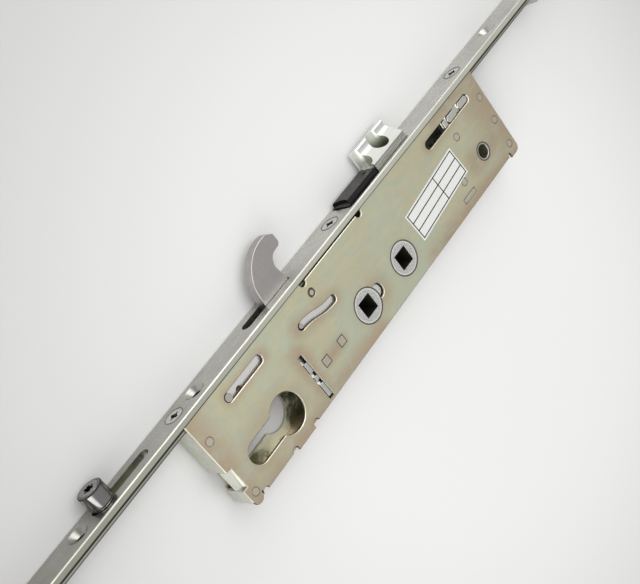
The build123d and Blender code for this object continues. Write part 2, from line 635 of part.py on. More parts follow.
def make_washer():
    through = (WASHER_Y[0] - 1, WASHER_Y[1] + 1)
    return rod(ROLLER_X, WASHER_R, WASHER_Y) - rod(ROLLER_X, STUD_FOOT_R + SEAT, through)


def make_roller():
    sleeve = rod(ROLLER_X, ROLLER_R, ROLLER_Y)
    sleeve = chamfer(sleeve.edges().filter_by(GeomType.CIRCLE), 0.3)
    sleeve -= rod(ROLLER_X, STUD_R + RUN, (ROLLER_Y[0] - 1, ROLLER_Y[1] + 1))
    return sleeve - rod(ROLLER_X, STUD_LIP_R + RUN, (STUD_TOP - STUD_LIP - 0.15, ROLLER_Y[1] + 1))


def make_rail_guide(x):
    """A bridge behind the rail with a leg each side of it."""
    back = (RAIL_Y[0] - CLEAR - RAIL_GUIDE_THICK, RAIL_Y[0] - CLEAR)
    outer = FACE_WIDE / 2 - 0.2
    inner = LAYER_OUT + CLEAR
    guide = block(x, back, (-outer, outer))
    for z in ((inner, outer), (-outer, -inner)):
        guide += block(x, (back[1], FACE_REAR), z)
    return guide


# Hook and its pins

def hook_frame(travel):
    """Where the drive pin's centre lies on the hook, for a given travel of the slide."""
    x = PIN_REST[0] + travel
    y = PIN_REST[1] - DRIVE_PIN_DROP * travel / TRAVEL
    r, turn = hypot(x, y), atan2(y, x) - HOOK_TURN * travel / TRAVEL
    return PIVOT_XY[0] + r * cos(turn), PIVOT_XY[1] + r * sin(turn)


def touching(a, ra, b, rb, side):
    """Where the straight line that touches two circles on one side meets each of them."""
    way = atan2(b[1] - a[1], b[0] - a[0])
    lean = acos((ra - rb) / hypot(b[0] - a[0], b[1] - a[1]))
    at = way + side * lean
    return [(c[0] + r * cos(at), c[1] + r * sin(at)) for c, r in ((a, ra), (b, rb))]


def make_hook():
    z = (-HOOK_THICK / 2, HOOK_THICK / 2)
    through = (z[0] - 1, z[1] + 1)

    def out(point):
        return PIVOT_XY[0] + point[0], BACKSET + point[1]

    back_foot, throat_foot = out((HOOK_BASE_X[0], 0)), out((HOOK_BASE_X[1], 0))
    throat, throat_top = out(HOOK_THROAT[0]), out(HOOK_THROAT[1])
    nose = [out(point) for point in HOOK_NOSE]
    edges = Line(throat_foot, throat) + ThreePointArc(throat, throat_top, nose[0]) + Polyline(*nose)
    edges += ThreePointArc(nose[-1], out(HOOK_CROWN), out(HOOK_BACK))
    edges += Line(out(HOOK_BACK), back_foot) + Line(back_foot, throat_foot)
    bolt = Pos(0, 0, z[0]) * extrude(make_face(edges), z[1] - z[0])
    pivot_side, pin_side = touching(PIVOT_XY, HOOK_BOSS_R, DRIVE_PIN_XY, HOOK_LOBE_R, 1)
    neck = [back_foot, throat_foot, (throat_foot[0], RAIL_Y[0] - CLEAR), PIVOT_XY, pivot_side, pin_side,
            (DRIVE_PIN_XY[0] - HOOK_LOBE_R, DRIVE_PIN_XY[1])]
    bolt += flat(neck, z) + disc(PIVOT_XY, HOOK_BOSS_R, z) + disc(DRIVE_PIN_XY, HOOK_LOBE_R, z)
    bolt -= disc(PIVOT_XY, PIVOT_R + RUN, through)
    for k in range(HOOK_STEPS):
        a, b = (hook_frame(TRAVEL * i / HOOK_STEPS) for i in (k, k + 1))
        bolt -= pill(a, b, DRIVE_PIN_R + CLEAR, through)
    return bolt


def make_pivot_pin():
    return disc(PIVOT_XY, PIVOT_END_R, (-HALF, HALF)) + disc(PIVOT_XY, PIVOT_R, (-INNER, INNER))


def make_drive_pin():
    pin = disc(DRIVE_PIN_XY, DRIVE_PIN_R, (-HOOK_THICK / 2, HALF - HAIR))
    return pin


# Followers

def follower_body(x):
    boss = HALF - HAIR
    body = disc((x, 0), FOLLOWER_WINDOW_R - RUN, (-boss, boss))
    return body + disc((x, 0), FOLLOWER_FLANGE_R, (-FLANGE, FLANGE))


def square_hole(x):
    half = SQUARE / 2
    return block((x - half, x + half), (-half, half), (-HALF - 1, HALF + 1))


def involute_half_angle(r):
    """Half the angle of a sector tooth at radius r."""
    at_pitch = pi / (2 * GEAR_TEETH) - THINNED / GEAR_R
    ratio = min(BASE_R / r, 1.0)
    alpha = acos(ratio)
    return at_pitch + (tan(PRESSURE) - PRESSURE) - (tan(alpha) - alpha)


def sector_tooth(k):
    mid = pi / 2 + k * 2 * pi / GEAR_TEETH
    tip, root = GEAR_R + ADDENDUM, GEAR_R - DEDENDUM - 0.1
    radii = [root] + [BASE_R + (tip - BASE_R) * i / 4 for i in range(5)]
    side = [(r, involute_half_angle(r)) for r in radii]
    flank = [(r, mid - a) for r, a in side] + [(r, mid + a) for r, a in reversed(side)]
    return [(FOLLOWER_X[0] + r * cos(a), r * sin(a)) for r, a in flank]


def make_lower_follower():
    x = FOLLOWER_X[0]
    z = (-LAYER_OUT, -LAYER_IN)
    body = follower_body(x)
    root = GEAR_R - DEDENDUM
    first = pi / 2 + (SECTOR_TEETH[0] - 0.5) * 2 * pi / GEAR_TEETH
    last = pi / 2 + (SECTOR_TEETH[-1] + 0.5) * 2 * pi / GEAR_TEETH
    fan = [(x + root * cos(a), root * sin(a)) for a in (first, (first + last) / 2, last)]
    edge = Line((x, 0), fan[0]) + ThreePointArc(*fan) + Line(fan[2], (x, 0))
    body += Pos(0, 0, z[0]) * extrude(make_face(edge), z[1] - z[0])
    body += pill((x, 0), (LOBE_X, LOBE_Y), LOBE_R - CLEAR, (LAYER_IN, FLANGE))
    for k in SECTOR_TEETH:
        body += flat(sector_tooth(k), z)
    return body - square_hole(x)


def make_upper_follower():
    x = FOLLOWER_X[1]
    z = (-LAYER_OUT, -LAYER_IN)
    body = follower_body(x)
    body += pill((x, 0), ARM_TIP, ARM_WIDE / 2, z) + disc(ARM_TIP, ARM_TIP_R, z)
    return body - square_hole(x)


# Latch, trigger and springs

def make_latch():
    half = LATCH_WIDE / 2
    tip = BACKSET + LATCH_TIP
    foot = SLIDE_FLAT_Y[1] + CLEAR + LATCH_TRAVEL + 0.1
    land, bevel_top = BACKSET + LATCH_LAND, BACKSET + LATCH_BEVEL_TOP
    side = [(foot, -half), (foot, half), (land, half), (bevel_top, LATCH_RIDGE_Z), (tip - 0.5, LATCH_RIDGE_Z),
            (tip, LATCH_RIDGE_Z - 0.5), (tip, -half + 0.5), (tip - 0.5, -half)]
    face = Plane.YZ * make_face(Polyline(*side, close=True))
    bolt = Pos(LATCH_X[0], 0, 0) * extrude(face, LATCH_X[1] - LATCH_X[0])
    hollow = Axis((LATCH_X[0], bevel_top, LATCH_RIDGE_Z), (1, 0, 0))
    bolt = fillet(bolt.edges().filter_by(Axis.X).sort_by_distance(hollow.position)[0], LATCH_HOLLOW_R)
    for y in LATCH_GROOVES:
        bolt -= block(LATCH_X, (BACKSET + y, BACKSET + y + LATCH_GROOVE), (half - LATCH_GROOVE, half + 1))
    pocket_y = (BACKSET + LATCH_POCKET_FLOOR, tip + 1)
    bolt -= rod(LATCH_POCKET_X, LATCH_POCKET_R, pocket_y) + rod(LATCH_X[0], LATCH_POCKET_R, pocket_y)
    body = LATCH_BODY_WIDE / 2
    bolt += block(LATCH_X, (LATCH_BODY_Y, foot), (-body, body))
    bolt += block(LATCH_STEM_X, (LUG_TOP - LATCH_LUG, LATCH_BODY_Y), (-body, body))
    bolt += block((LATCH_LUG_X, LATCH_STEM_X[1]), (LUG_TOP - LATCH_LUG, LUG_TOP), (-LAYER_OUT, body))
    spigot = LATCH_SPRING[1] - LATCH_SPRING[2] / 2 - CLEAR
    return bolt + rod(LATCH_SPRING[0], spigot, (LATCH_BODY_Y - 2.5, LATCH_BODY_Y))


def make_latch_guide():
    x = (LATCH_X[1] + CLEAR, UPPER_SLOT_X[0] - 0.4)
    return block(x, (SLIDE_FLAT_Y[1] + 0.5, RAIL_Y[0] - CLEAR), (-LATCH_BODY_WIDE / 2, INNER))


def make_trigger():
    half = LATCH_WIDE / 2
    top = BACKSET + TRIGGER_TOP
    low, high = TRIGGER_X
    side = [(low, TRIGGER_FOOT_Y), (high, TRIGGER_FOOT_Y), (high, top), (low + TRIGGER_LEAN, top),
            (low, BACKSET)]
    body = flat(side, (-half, half))
    long_edges = body.edges().filter_by(Axis.X).group_by(Axis.Y)[-1].sort_by(Axis.Z)
    body = chamfer(long_edges[-1], TRIGGER_BEVEL)
    low_edge = body.edges().filter_by(Axis.X).group_by(Axis.Y)[-1].sort_by(Axis.Z)[0]
    body = chamfer(low_edge, TRIGGER_EDGE)
    dish_x = low + TRIGGER_LEAN + TRIGGER_DISH - TRIGGER_DISH_R
    body -= rod(dish_x, TRIGGER_DISH_R, (BACKSET + TRIGGER_DISH_FOOT, top + 1))
    dimple_x, dimple_r, dimple_deep = TRIGGER_DIMPLE
    body -= rod(dimple_x, dimple_r, (top - dimple_deep, top + 1))
    spring_x, coil_r, wire = TRIGGER_SPRING
    return body - rod(spring_x, coil_r + wire / 2 + CLEAR, (TRIGGER_FOOT_Y - 1, TRIGGER_FOOT_Y + 3.0))


def make_latch_seat():
    x = LATCH_SPRING[0]
    rear = CASE_REAR_Y + SHEET
    seat = block((x - 6, x + 6), (rear, rear + SEAT_THICK), (-INNER, INNER))
    spigot = LATCH_SPRING[1] - LATCH_SPRING[2] / 2 - CLEAR
    return seat + rod(x, spigot, (rear + SEAT_THICK, rear + SEAT_THICK + 3.0))


def make_trigger_seat():
    x = TRIGGER_SPRING[0]
    seat = block((x - 4, x + 4), (TRIGGER_SEAT_Y - SEAT_THICK, TRIGGER_SEAT_Y), (-INNER, INNER))
    spigot = TRIGGER_SPRING[1] - TRIGGER_SPRING[2] / 2 - CLEAR
    return seat + rod(x, spigot, (TRIGGER_SEAT_Y, TRIGGER_SEAT_Y + 3.0))


def biarc(p0, t0, p1, t1):
    """Two arcs that leave p0 along t0 and reach p1 along t1."""
    gap = p1 - p0
    a = 2 * (1 - t0.dot(t1))
    b = 2 * gap.dot(t0 + t1)
    reach = (-b + sqrt(b * b + 4 * a * gap.dot(gap))) / (2 * a)
    middle = (p0 + t0 * reach + p1 - t1 * reach) * 0.5
    return [Edge.make_tangent_arc(p0, t0, middle), Edge.make_tangent_arc(p1, t1 * -1, middle)]


def make_spring(name, x, coil_r, wire, turns, low_y, high_y):
    """An open coil along Y between two seats, its ends run out straight for one wire."""
    rise = high_y - low_y - wire
    pitch = rise / turns
    start_y = low_y + wire / 2

    def at(quarter):
        turn = quarter * pi / 2
        point = Vector(x + coil_r * cos(turn), start_y + pitch * quarter / 4, coil_r * sin(turn))
        way = Vector(-coil_r * sin(turn), pitch / (2 * pi), coil_r * cos(turn)).normalized()
        return point, way

    edges = []
    for quarter in range(4 * turns):
        edges += biarc(*at(quarter), *at(quarter + 1))
    (first, way_in), (last, way_out) = at(0), at(4 * turns)
    level_in, level_out = Vector(0, 0, 1), Vector(0, 0, 1)
    edges[:2] = biarc(first, level_in, *at(1))
    edges[-2:] = biarc(*at(4 * turns - 1), last, level_out)
    edges = [Edge.make_line(first - level_in * wire, first)] + edges
    edges.append(Edge.make_line(last, last + level_out * wire))
    path = Wire(edges)
    section = Plane(origin=path @ 0, z_dir=level_in) * Circle(wire / 2)
    spring = sweep(section, path=path)
    print(name, "least gap between turns", round(pitch - wire, 2), "mm")
    return spring


# Locking bar

def make_lock_bar():
    z = (LAYER_IN, LAYER_IN + BAR_THICK)
    bar = block(BAR_BASE_X, (BAR_SLOT_Y[0] + CLEAR, BAR_TOP_Y), z)
    rib_x = (BAR_SLOT_X[0] + CLEAR, BAR_SLOT_X[1] - CLEAR)
    bar += block(rib_x, BAR_RIB_Y, (z[1], HALF - HAIR))
    for y in BAR_NOTCHES_Y:
        bar -= block((rib_x[0] - 1, rib_x[1] + 1), y, (INNER - 0.4, HALF))
    bar += block((BAR_LUG_X, BAR_BASE_X[0]), (-3.0, 3.0), (-LAYER_IN + 0.9, z[1]))
    return bar + block(BAR_BASE_X, (-3.0, 3.0), (-LAYER_IN + 0.9, z[0]))


def named_parts():
    """Every node with its solids."""
    rear = CASE_REAR_Y + SHEET + SEAT_THICK
    latch_foot, trigger_foot = LATCH_BODY_Y, TRIGGER_FOOT_Y + 3.0
    screw_ends = [screw_block_y(i)[0] + 1.0 for i in range(3)]
    screw_ends = [max(end, BACKSET - CASE_SCREW_LONG) for end in screw_ends]
    return {
        "faceplate": [make_faceplate()],
        "case_tray": [make_tray()],
        "case_cover": [make_cover()],
        "case_screws": [make_case_screw(x, end) for x, end in zip(CASE_SCREW_X, screw_ends)],
        "screw_blocks": [make_screw_block(i) for i in range(3)],
        "case_rivets": [make_rivet(xy) for xy in RIVET_XY],
        "square_pillars": [make_square_pillar(xy) for xy in SQUARE_PILLAR_XY],
        "case_stake": [make_stake()],
        "screw_bush": [make_bush()],
        "guide_bracket": [make_guide_bracket()],
        "label": [make_label()],
        "rail_guide_lower": [make_rail_guide(RAIL_GUIDE_X[0])],
        "rail_guide_upper": [make_rail_guide(RAIL_GUIDE_X[1])],
        "hook_pivot_pin": [make_pivot_pin()],
        "latch_guide": [make_latch_guide()],
        "latch_spring_seat": [make_latch_seat()],
        "trigger_spring_seat": [make_trigger_seat()],
        "latch_spring": [make_spring("latch_spring", *LATCH_SPRING, LATCH_TURNS, rear, latch_foot)],
        "trigger_spring": [make_spring("trigger_spring", *TRIGGER_SPRING, TRIGGER_TURNS, TRIGGER_SEAT_Y,
                                       trigger_foot)],
        "rail_lower": [make_rail_low()],
        "rail_upper": [make_rail_high()],
        "slide_plate_upper": [make_slide_upper()],
        "slide_plate_lower": [make_slide_lower()],
        "slide_guide_pin": [make_guide_pin()],
        "slide_spacer": [make_spacer()],
        "roller_stud": [make_roller_stud()],
        "roller_washer": [make_washer()],
        "roller_sleeve": [make_roller()],
        "hook_bolt": [make_hook()],
        "hook_drive_pin": [make_drive_pin()],
        "lower_follower": [make_lower_follower()],
        "upper_follower": [make_upper_follower()],
        "latch_bolt": [make_latch()],
        "trigger": [make_trigger()],
        "lock_bar": [make_lock_bar()],
    }


os.makedirs("parts", exist_ok=True)
for node, solids in named_parts().items():
    shapes = [solid for made in solids for solid in made.solids()]
    whole = shapes[0] if len(shapes) == 1 else Compound(children=shapes)
    export_step(whole, os.path.join("parts", node + ".step"))
print("hook turns", round(degrees(HOOK_TURN), 3), "degrees, arm turns", round(2 * degrees(ARM_ANGLE), 3))
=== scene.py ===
"""Looks of the door lock: finishes of its plates, castings, bolts and roller, and its studio.

The lock's own frame: +X along the faceplate to the upper end, +Y the way the bolts throw,
+Z up through the cover plate, origin on the cylinder's axis. Places and sizes on the lock
are named in millimetres and turned into metres where they are used.
"""
import json
from math import cos, radians

import bmesh
import bpy
from mathutils import Matrix, Vector


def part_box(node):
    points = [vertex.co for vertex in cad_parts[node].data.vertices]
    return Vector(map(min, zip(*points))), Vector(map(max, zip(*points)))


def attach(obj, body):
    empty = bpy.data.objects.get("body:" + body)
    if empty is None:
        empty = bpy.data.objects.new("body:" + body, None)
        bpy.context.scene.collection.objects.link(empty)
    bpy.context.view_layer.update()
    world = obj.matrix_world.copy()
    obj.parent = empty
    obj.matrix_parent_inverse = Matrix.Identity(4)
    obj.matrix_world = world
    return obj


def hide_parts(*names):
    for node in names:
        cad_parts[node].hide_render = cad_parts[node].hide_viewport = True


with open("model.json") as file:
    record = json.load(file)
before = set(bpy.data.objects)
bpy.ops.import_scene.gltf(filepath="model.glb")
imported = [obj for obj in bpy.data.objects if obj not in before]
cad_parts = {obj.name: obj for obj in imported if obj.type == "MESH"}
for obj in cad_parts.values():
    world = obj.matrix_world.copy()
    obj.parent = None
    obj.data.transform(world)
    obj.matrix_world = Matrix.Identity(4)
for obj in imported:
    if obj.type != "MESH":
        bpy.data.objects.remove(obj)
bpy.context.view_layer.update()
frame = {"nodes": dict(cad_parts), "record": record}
NODES = frame["nodes"]
BODY_OF = {node: body for body, members in frame["record"]["behaviour"]["bodies"].items()
           for node in members}
SLOT_OF = {row["node"]: row["material_slot"] for row in frame["record"]["subparts"]}

MM = 0.001
# Heights and edges in metres
COVER_TOP = 7.25 * MM
FLOOR_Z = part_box("faceplate")[0].z
STRIP_REAR, STRIP_FRONT = (corner.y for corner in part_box("faceplate"))
RAIL_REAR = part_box("rail_lower")[0].y
# The spindles' axes in millimetres
LOWER_SPINDLE_X = 62.0
UPPER_SPINDLE_X = 92.0


# Building shader trees

class Tree:
    """Short calls for the nodes of one material, shader group or geometry tree."""

    def __init__(self, tree):
        self.tree = tree

    def node(self, kind, **values):
        made = self.tree.nodes.new(kind)
        for name, value in values.items():
            setattr(made, name, value)
        return made

    def join(self, value, socket):
        """Links another node's output to the socket, or sets a plain value."""
        if isinstance(value, bpy.types.NodeSocket):
            self.tree.links.new(value, socket)
        else:
            socket.default_value = value

    def use(self, group, **values):
        made = self.node("ShaderNodeGroup", node_tree=group)
        for name, value in values.items():
            self.join(value, made.inputs[name])
        return made.outputs

    def place(self):
        return self.node("ShaderNodeTexCoord").outputs["Object"]

    def mapping(self, place, at=(0, 0, 0), turn=0.0, scale=(1, 1, 1)):
        """The place moved, turned round Z by so many degrees, and stretched."""
        made = self.node("ShaderNodeMapping")
        self.join(place, made.inputs["Vector"])
        made.inputs["Location"].default_value = at
        made.inputs["Rotation"].default_value = (0, 0, radians(turn))
        made.inputs["Scale"].default_value = scale
        return made.outputs["Vector"]

    def noise(self, place, scale, detail=3.0, rough=0.5, warp=0.0):
        made = self.node("ShaderNodeTexNoise")
        self.join(place, made.inputs["Vector"])
        self.join(scale, made.inputs["Scale"])
        made.inputs["Detail"].default_value = detail
        made.inputs["Roughness"].default_value = rough
        made.inputs["Distortion"].default_value = warp
        return made.outputs["Fac"]

    def math(self, kind, a, b=0.0, clamp=False):
        made = self.node("ShaderNodeMath", operation=kind, use_clamp=clamp)
        self.join(a, made.inputs[0])
        self.join(b, made.inputs[1])
        return made.outputs[0]

    def vector(self, kind, a, b=(0, 0, 0)):
        made = self.node("ShaderNodeVectorMath", operation=kind)
        self.join(a, made.inputs[0])
        self.join(b, made.inputs["Scale" if kind == "SCALE" else 1])
        return made.outputs["Value" if kind in ("DOT_PRODUCT", "LENGTH", "DISTANCE") else "Vector"]

    def ramp(self, value, low, high, to_low=0.0, to_high=1.0):
        """value from low..high smoothly onto to_low..to_high."""
        made = self.node("ShaderNodeMapRange", interpolation_type="SMOOTHSTEP")
        for name, given in (("Value", value), ("From Min", low), ("From Max", high),
                            ("To Min", to_low), ("To Max", to_high)):
            self.join(given, made.inputs[name])
        return made.outputs["Result"]

    def mix(self, share, a, b):
        """Colour a where share is 0, colour b where it is 1."""
        made = self.node("ShaderNodeMix", data_type="RGBA")
        self.join(share, made.inputs[0])
        for colour, socket in ((a, made.inputs[6]), (b, made.inputs[7])):
            self.join(colour if isinstance(colour, bpy.types.NodeSocket) else (*colour, 1.0), socket)
        return made.outputs[2]

    def split(self, place):
        made = self.node("ShaderNodeSeparateXYZ")
        self.join(place, made.inputs[0])
        return made.outputs

    def weigh(self, a, b, share):
        """a and b added, a by its share and b by the rest."""
        rest = self.math("MULTIPLY", b, 1.0 - share)
        return self.math("ADD", self.math("MULTIPLY", a, share), rest)

    def away(self, a, b):
        """How far a point is from an axis, from its two offsets."""
        squares = self.math("ADD", self.math("MULTIPLY", a, a), self.math("MULTIPLY", b, b))
        return self.math("SQRT", squares)

    def largest(self, first, *others):
        for value in others:
            first = self.math("MAXIMUM", first, value)
        return first


def new_group(name, inputs, outputs):
    """An empty shader group with named float or vector sockets."""
    tree = bpy.data.node_groups.new(name, "ShaderNodeTree")
    kinds = {"value": "NodeSocketFloat", "place": "NodeSocketVector"}
    for way, sockets in (("INPUT", inputs), ("OUTPUT", outputs)):
        for title, kind in sockets:
            tree.interface.new_socket(title, in_out=way, socket_type=kinds[kind])
    build = Tree(tree)
    return tree, build, build.node("NodeGroupInput").outputs, build.node("NodeGroupOutput").inputs


def make_drawn_grain():
    """Fine parallel lines that a roller or a belt leaves along one way of the surface."""
    tree, build, given, out = new_group(
        "drawn_grain", [("Place", "place"), ("Fineness", "value")],
        [("Lines", "value"), ("Cloud", "value")])
    fine = build.noise(given["Place"], given["Fineness"], detail=4.0, rough=0.6)
    wide = build.noise(given["Place"], build.math("MULTIPLY", given["Fineness"], 0.13), detail=2.0)
    build.join(build.weigh(fine, wide, 0.65), out["Lines"])
    build.join(build.noise(build.place(), 60.0, rough=0.55), out["Cloud"])
    return tree


def make_halo():
    """How near a point lies to a straight stretch in the plane, 1 on it and 0 past the reach."""
    tree, build, given, out = new_group(
        "halo", [("Place", "place"), ("Start", "place"), ("Way", "place"), ("Reach", "value")],
        [("Near", "value")])
    off = build.vector("SUBTRACT", given["Place"], given["Start"])
    along = build.math("DIVIDE", build.vector("DOT_PRODUCT", off, given["Way"]),
                       build.vector("DOT_PRODUCT", given["Way"], given["Way"]), clamp=True)
    foot = build.vector("SCALE", given["Way"], along)
    gap = build.vector("LENGTH", build.vector("SUBTRACT", off, foot))
    build.join(build.ramp(gap, 0.0, given["Reach"], 1.0, 0.0), out["Near"])
    return tree


def make_speckle():
    """Small marks of handling: a fine pitting and a few longer rubbed spots."""
    tree, build, given, out = new_group(
        "speckle", [("Place", "place"), ("Size", "value")],
        [("Pits", "value"), ("Rubs", "value")])
    fine, wide = (build.math("DIVIDE", share, given["Size"]) for share in (1.0, 0.2))
    pits = build.noise(given["Place"], fine, detail=5.0, rough=0.65)
    build.join(build.ramp(pits, 0.42, 0.62), out["Pits"])
    rubs = build.noise(given["Place"], wide, detail=2.0, warp=0.6)
    build.join(build.ramp(rubs, 0.55, 0.72), out["Rubs"])
    return tree


GRAIN = make_drawn_grain()
HALO = make_halo()
SPECKLE = make_speckle()


def new_material(name, metallic=1.0, **constants):
    """A material with one shader, whose even values sit on the shader's own sockets."""
    made = bpy.data.materials.new(name)
    made.use_nodes = True
    shader = made.node_tree.nodes["Principled BSDF"].inputs
    shader["Metallic"].default_value = metallic
    for title, value in constants.items():
        shader[title.replace("_", " ")].default_value = value
    return made, Tree(made.node_tree), shader


def surface(build, shader, colour, rough, height, depth):
    """Joins a finish's colour, roughness and relief to the shader, the depth in metres."""
    build.join(colour, shader["Base Color"])
    build.join(rough, shader["Roughness"])
    relief = build.node("ShaderNodeBump")
    relief.inputs["Strength"].default_value = 1.0
    relief.inputs["Distance"].default_value = depth
    build.join(height, relief.inputs["Height"])
    build.join(relief.outputs["Normal"], shader["Normal"])


# Finishes. Two colours or two roughnesses together are the ends that the surface runs between.

# Roughness, from polished to matt
POLISHED = (0.09, 0.15)
TURNED = (0.20, 0.30)
BRIGHT = (0.24, 0.34)
SMOOTH = (0.26, 0.36)
SHEEN = (0.28, 0.40)
PRESSED = (0.30, 0.40)
SATIN = (0.30, 0.42)
DULL = (0.32, 0.44)
MATT = (0.34, 0.46)
# How a grain is stretched along X, Y and Z
GRAIN_EVEN = (1, 1, 1)
GRAIN_X = (0.05, 1, 1)
SHEET_GRAIN_X = (0.06, 1, 1)
GRAIN_Y = (1, 0.1, 1)
SHORT_GRAIN_Y = (1, 0.2, 1)
GRAIN_FINENESS = 2400.0
# What a grain's tone and a plain noise mostly run through
TONE_SPAN = (0.36, 0.62)
NOISE_SPAN = (0.3, 0.7)

STAINED_NEAR = (
    # where the plating of the cover is tinted: start, end and how far it reaches, in millimetres
    ((-14.5, 25.0), (8.0, 25.0), 6.5),
    ((-20.0, 0.0), (2.0, 0.0), 17.0),
    ((28.0, 20.0), (51.0, 15.0), 7.5),
    ((20.5, -12.0), (20.5, 12.0), 9.0),
    ((29.0, 0.0), (41.0, 0.0), 5.5),
    ((LOWER_SPINDLE_X, 0.0), (70.0, 0.5), 12.5),
    ((UPPER_SPINDLE_X, 0.0), (92.5, 0.0), 11.5),
    ((140.0, 24.6), (175.0, 24.6), 7.0),
    ((158.0, 0.0), (175.0, 0.0), 11.0),
    ((108.0, -13.5), (186.0, -13.5), 10.0),
    ((-36.0, -13.5), (60.0, -13.5), 10.5),
    ((-37.0, -14.0), (-37.0, 30.0), 18.0),
    ((192.0, -13.0), (186.0, 32.0), 34.0),
    ((150.0, 31.0), (186.0, 31.0), 7.0),
)
STAIN_STRENGTH = 1.1
STREAK_TURN = -38.0
OLIVE = ((0.635, 0.595, 0.41), (0.545, 0.575, 0.435))
ROSY = ((0.43, 0.32, 0.235), (0.54, 0.43, 0.30))
WORN_ZINC = (0.56, 0.55, 0.50)
RUBBED_ZINC = (0.66, 0.65, 0.55)


def case_zinc(name="case_zinc", worn=0.0):
    """Yellow passivated zinc: olive to grey green, with rosy stains round the openings."""
    made, build, shader = new_material(name, metallic=0.9)
    place = build.place()
    cloud = build.noise(place, 34.0, rough=0.55, warp=0.6)
    drift = build.noise(build.mapping(place, at=(0.4, 0.1, 0), turn=STREAK_TURN, scale=(1, 2.6, 1)),
                        46.0, rough=0.6, warp=0.4)
    streaks = build.noise(build.mapping(place, turn=STREAK_TURN, scale=(1, 3.0, 1)),
                          120.0, rough=0.6, warp=0.8)
    flat = build.mapping(place, scale=(1, 1, 0))
    halos = []
    for start, end, reach in STAINED_NEAR:
        start, end = (Vector((x * MM, y * MM, 0)) for x, y in (start, end))
        halo = build.use(HALO, Place=flat, Start=start, Way=end - start, Reach=reach * MM)
        halos.append(halo["Near"])
    broken = build.ramp(drift, 0.30, 0.68, 0.35, 1.0)
    stained = build.math("MULTIPLY", build.largest(*halos), broken)
    marks = build.use(SPECKLE, Place=place, Size=1.1 * MM)
    olive = build.mix(build.ramp(build.weigh(cloud, streaks, 0.55), 0.40, 0.60), *OLIVE)
    rosy = build.mix(build.ramp(drift, 0.35, 0.7), *ROSY)
    colour = build.mix(build.math("MULTIPLY", stained, STAIN_STRENGTH, clamp=True), olive, rosy)
    colour = build.mix(worn, colour, WORN_ZINC)
    colour = build.mix(build.math("MULTIPLY", marks["Rubs"], 0.18), colour, RUBBED_ZINC)
    rough = build.math("ADD", build.ramp(cloud, *NOISE_SPAN, 0.36, 0.46),
                       build.math("MULTIPLY", marks["Pits"], 0.05))
    grain = build.use(GRAIN, Place=build.mapping(place, scale=SHEET_GRAIN_X), Fineness=2600.0)
    height = build.math("ADD", grain["Lines"], build.math("MULTIPLY", marks["Pits"], 0.6))
    surface(build, shader, colour, rough, height, depth=0.012 * MM)
    return made


def drawn_skin(build, grain, rough):
    """A grain's lines, how light the surface is, and its roughness, least where it is light."""
    place = build.mapping(build.place(), scale=grain)
    drawn = build.use(GRAIN, Place=place, Fineness=GRAIN_FINENESS)
    tone = build.weigh(drawn["Lines"], drawn["Cloud"], 0.6)
    least, most = rough
    return drawn["Lines"], build.ramp(tone, *TONE_SPAN), build.ramp(tone, *TONE_SPAN, most, least)


def drawn_steel(name, dark, light, rough=SHEEN, grain=GRAIN_X, depth=0.01 * MM):
    """Plated or bare steel with a grain along one way and slight clouds."""
    made, build, shader = new_material(name)
    lines, lightness, roughness = drawn_skin(build, grain, rough)
    surface(build, shader, build.mix(lightness, dark, light), roughness, lines, depth)
    return made


# Painted shade: the strip grows darker towards its low end, between two places along X
LOW_END_SHADE_X = (-130.0, 100.0)
# The shaded line along the rear edge is a painted shadow in the gap behind the strip
REAR_LINE = (0.15, 0.45)        # how far from its rear edge the shaded line fades and ends
REAR_SHADOW_COLOUR = (0.05, 0.045, 0.025)


def strip_zinc(name, shaded_low_end, upper_end, rough=BRIGHT, rear_shade=0.0):
    """Drawn zinc of the strip, with painted shade towards its low end and a shaded line, a painted
    shadow, along its rear edge.
    """
    made, build, shader = new_material(name)
    lines, lightness, roughness = drawn_skin(build, GRAIN_X, rough)
    sides = build.split(build.place())
    # painted shade: darker towards the strip's low end
    along = build.ramp(sides["X"], *(x * MM for x in LOW_END_SHADE_X))
    rear = build.ramp(sides["Y"], *(STRIP_REAR + y * MM for y in REAR_LINE), rear_shade, 0.0)
    zinc = build.mix(along, build.mix(lightness, *shaded_low_end), build.mix(lightness, *upper_end))
    colour = build.mix(rear, zinc, REAR_SHADOW_COLOUR)
    surface(build, shader, colour, roughness, lines, depth=0.01 * MM)
    return made


def cast_metal(name, dark, light, shade=None):
    """A casting with a fine sandy skin, which shade may tint by its place."""
    made, build, shader = new_material(name, metallic=0.85)
    marks = build.use(SPECKLE, Place=build.place(), Size=0.6 * MM)
    colour = build.mix(marks["Pits"], light, dark)
    if shade:
        colour = shade(build, colour)
    rough = build.ramp(marks["Rubs"], 0.0, 1.0, 0.55, 0.42)
    surface(build, shader, colour, rough, marks["Pits"], depth=-0.03 * MM)
    return made


# A follower's face, in millimetres
FOLLOWER_RIM = (6.75, 7.1)      # radii where its pale rim starts and is full
SQUARE_HALF = 4.02
SQUARE_LIT = 0.35               # how far down the square's walls are as light as the face
FOLLOWER_SKIN = ((0.40, 0.40, 0.385), (0.62, 0.625, 0.605))
FOLLOWER_RIM_COLOUR = (0.74, 0.745, 0.72)
SQUARE_SHADE_COLOUR = (0.045, 0.040, 0.028)


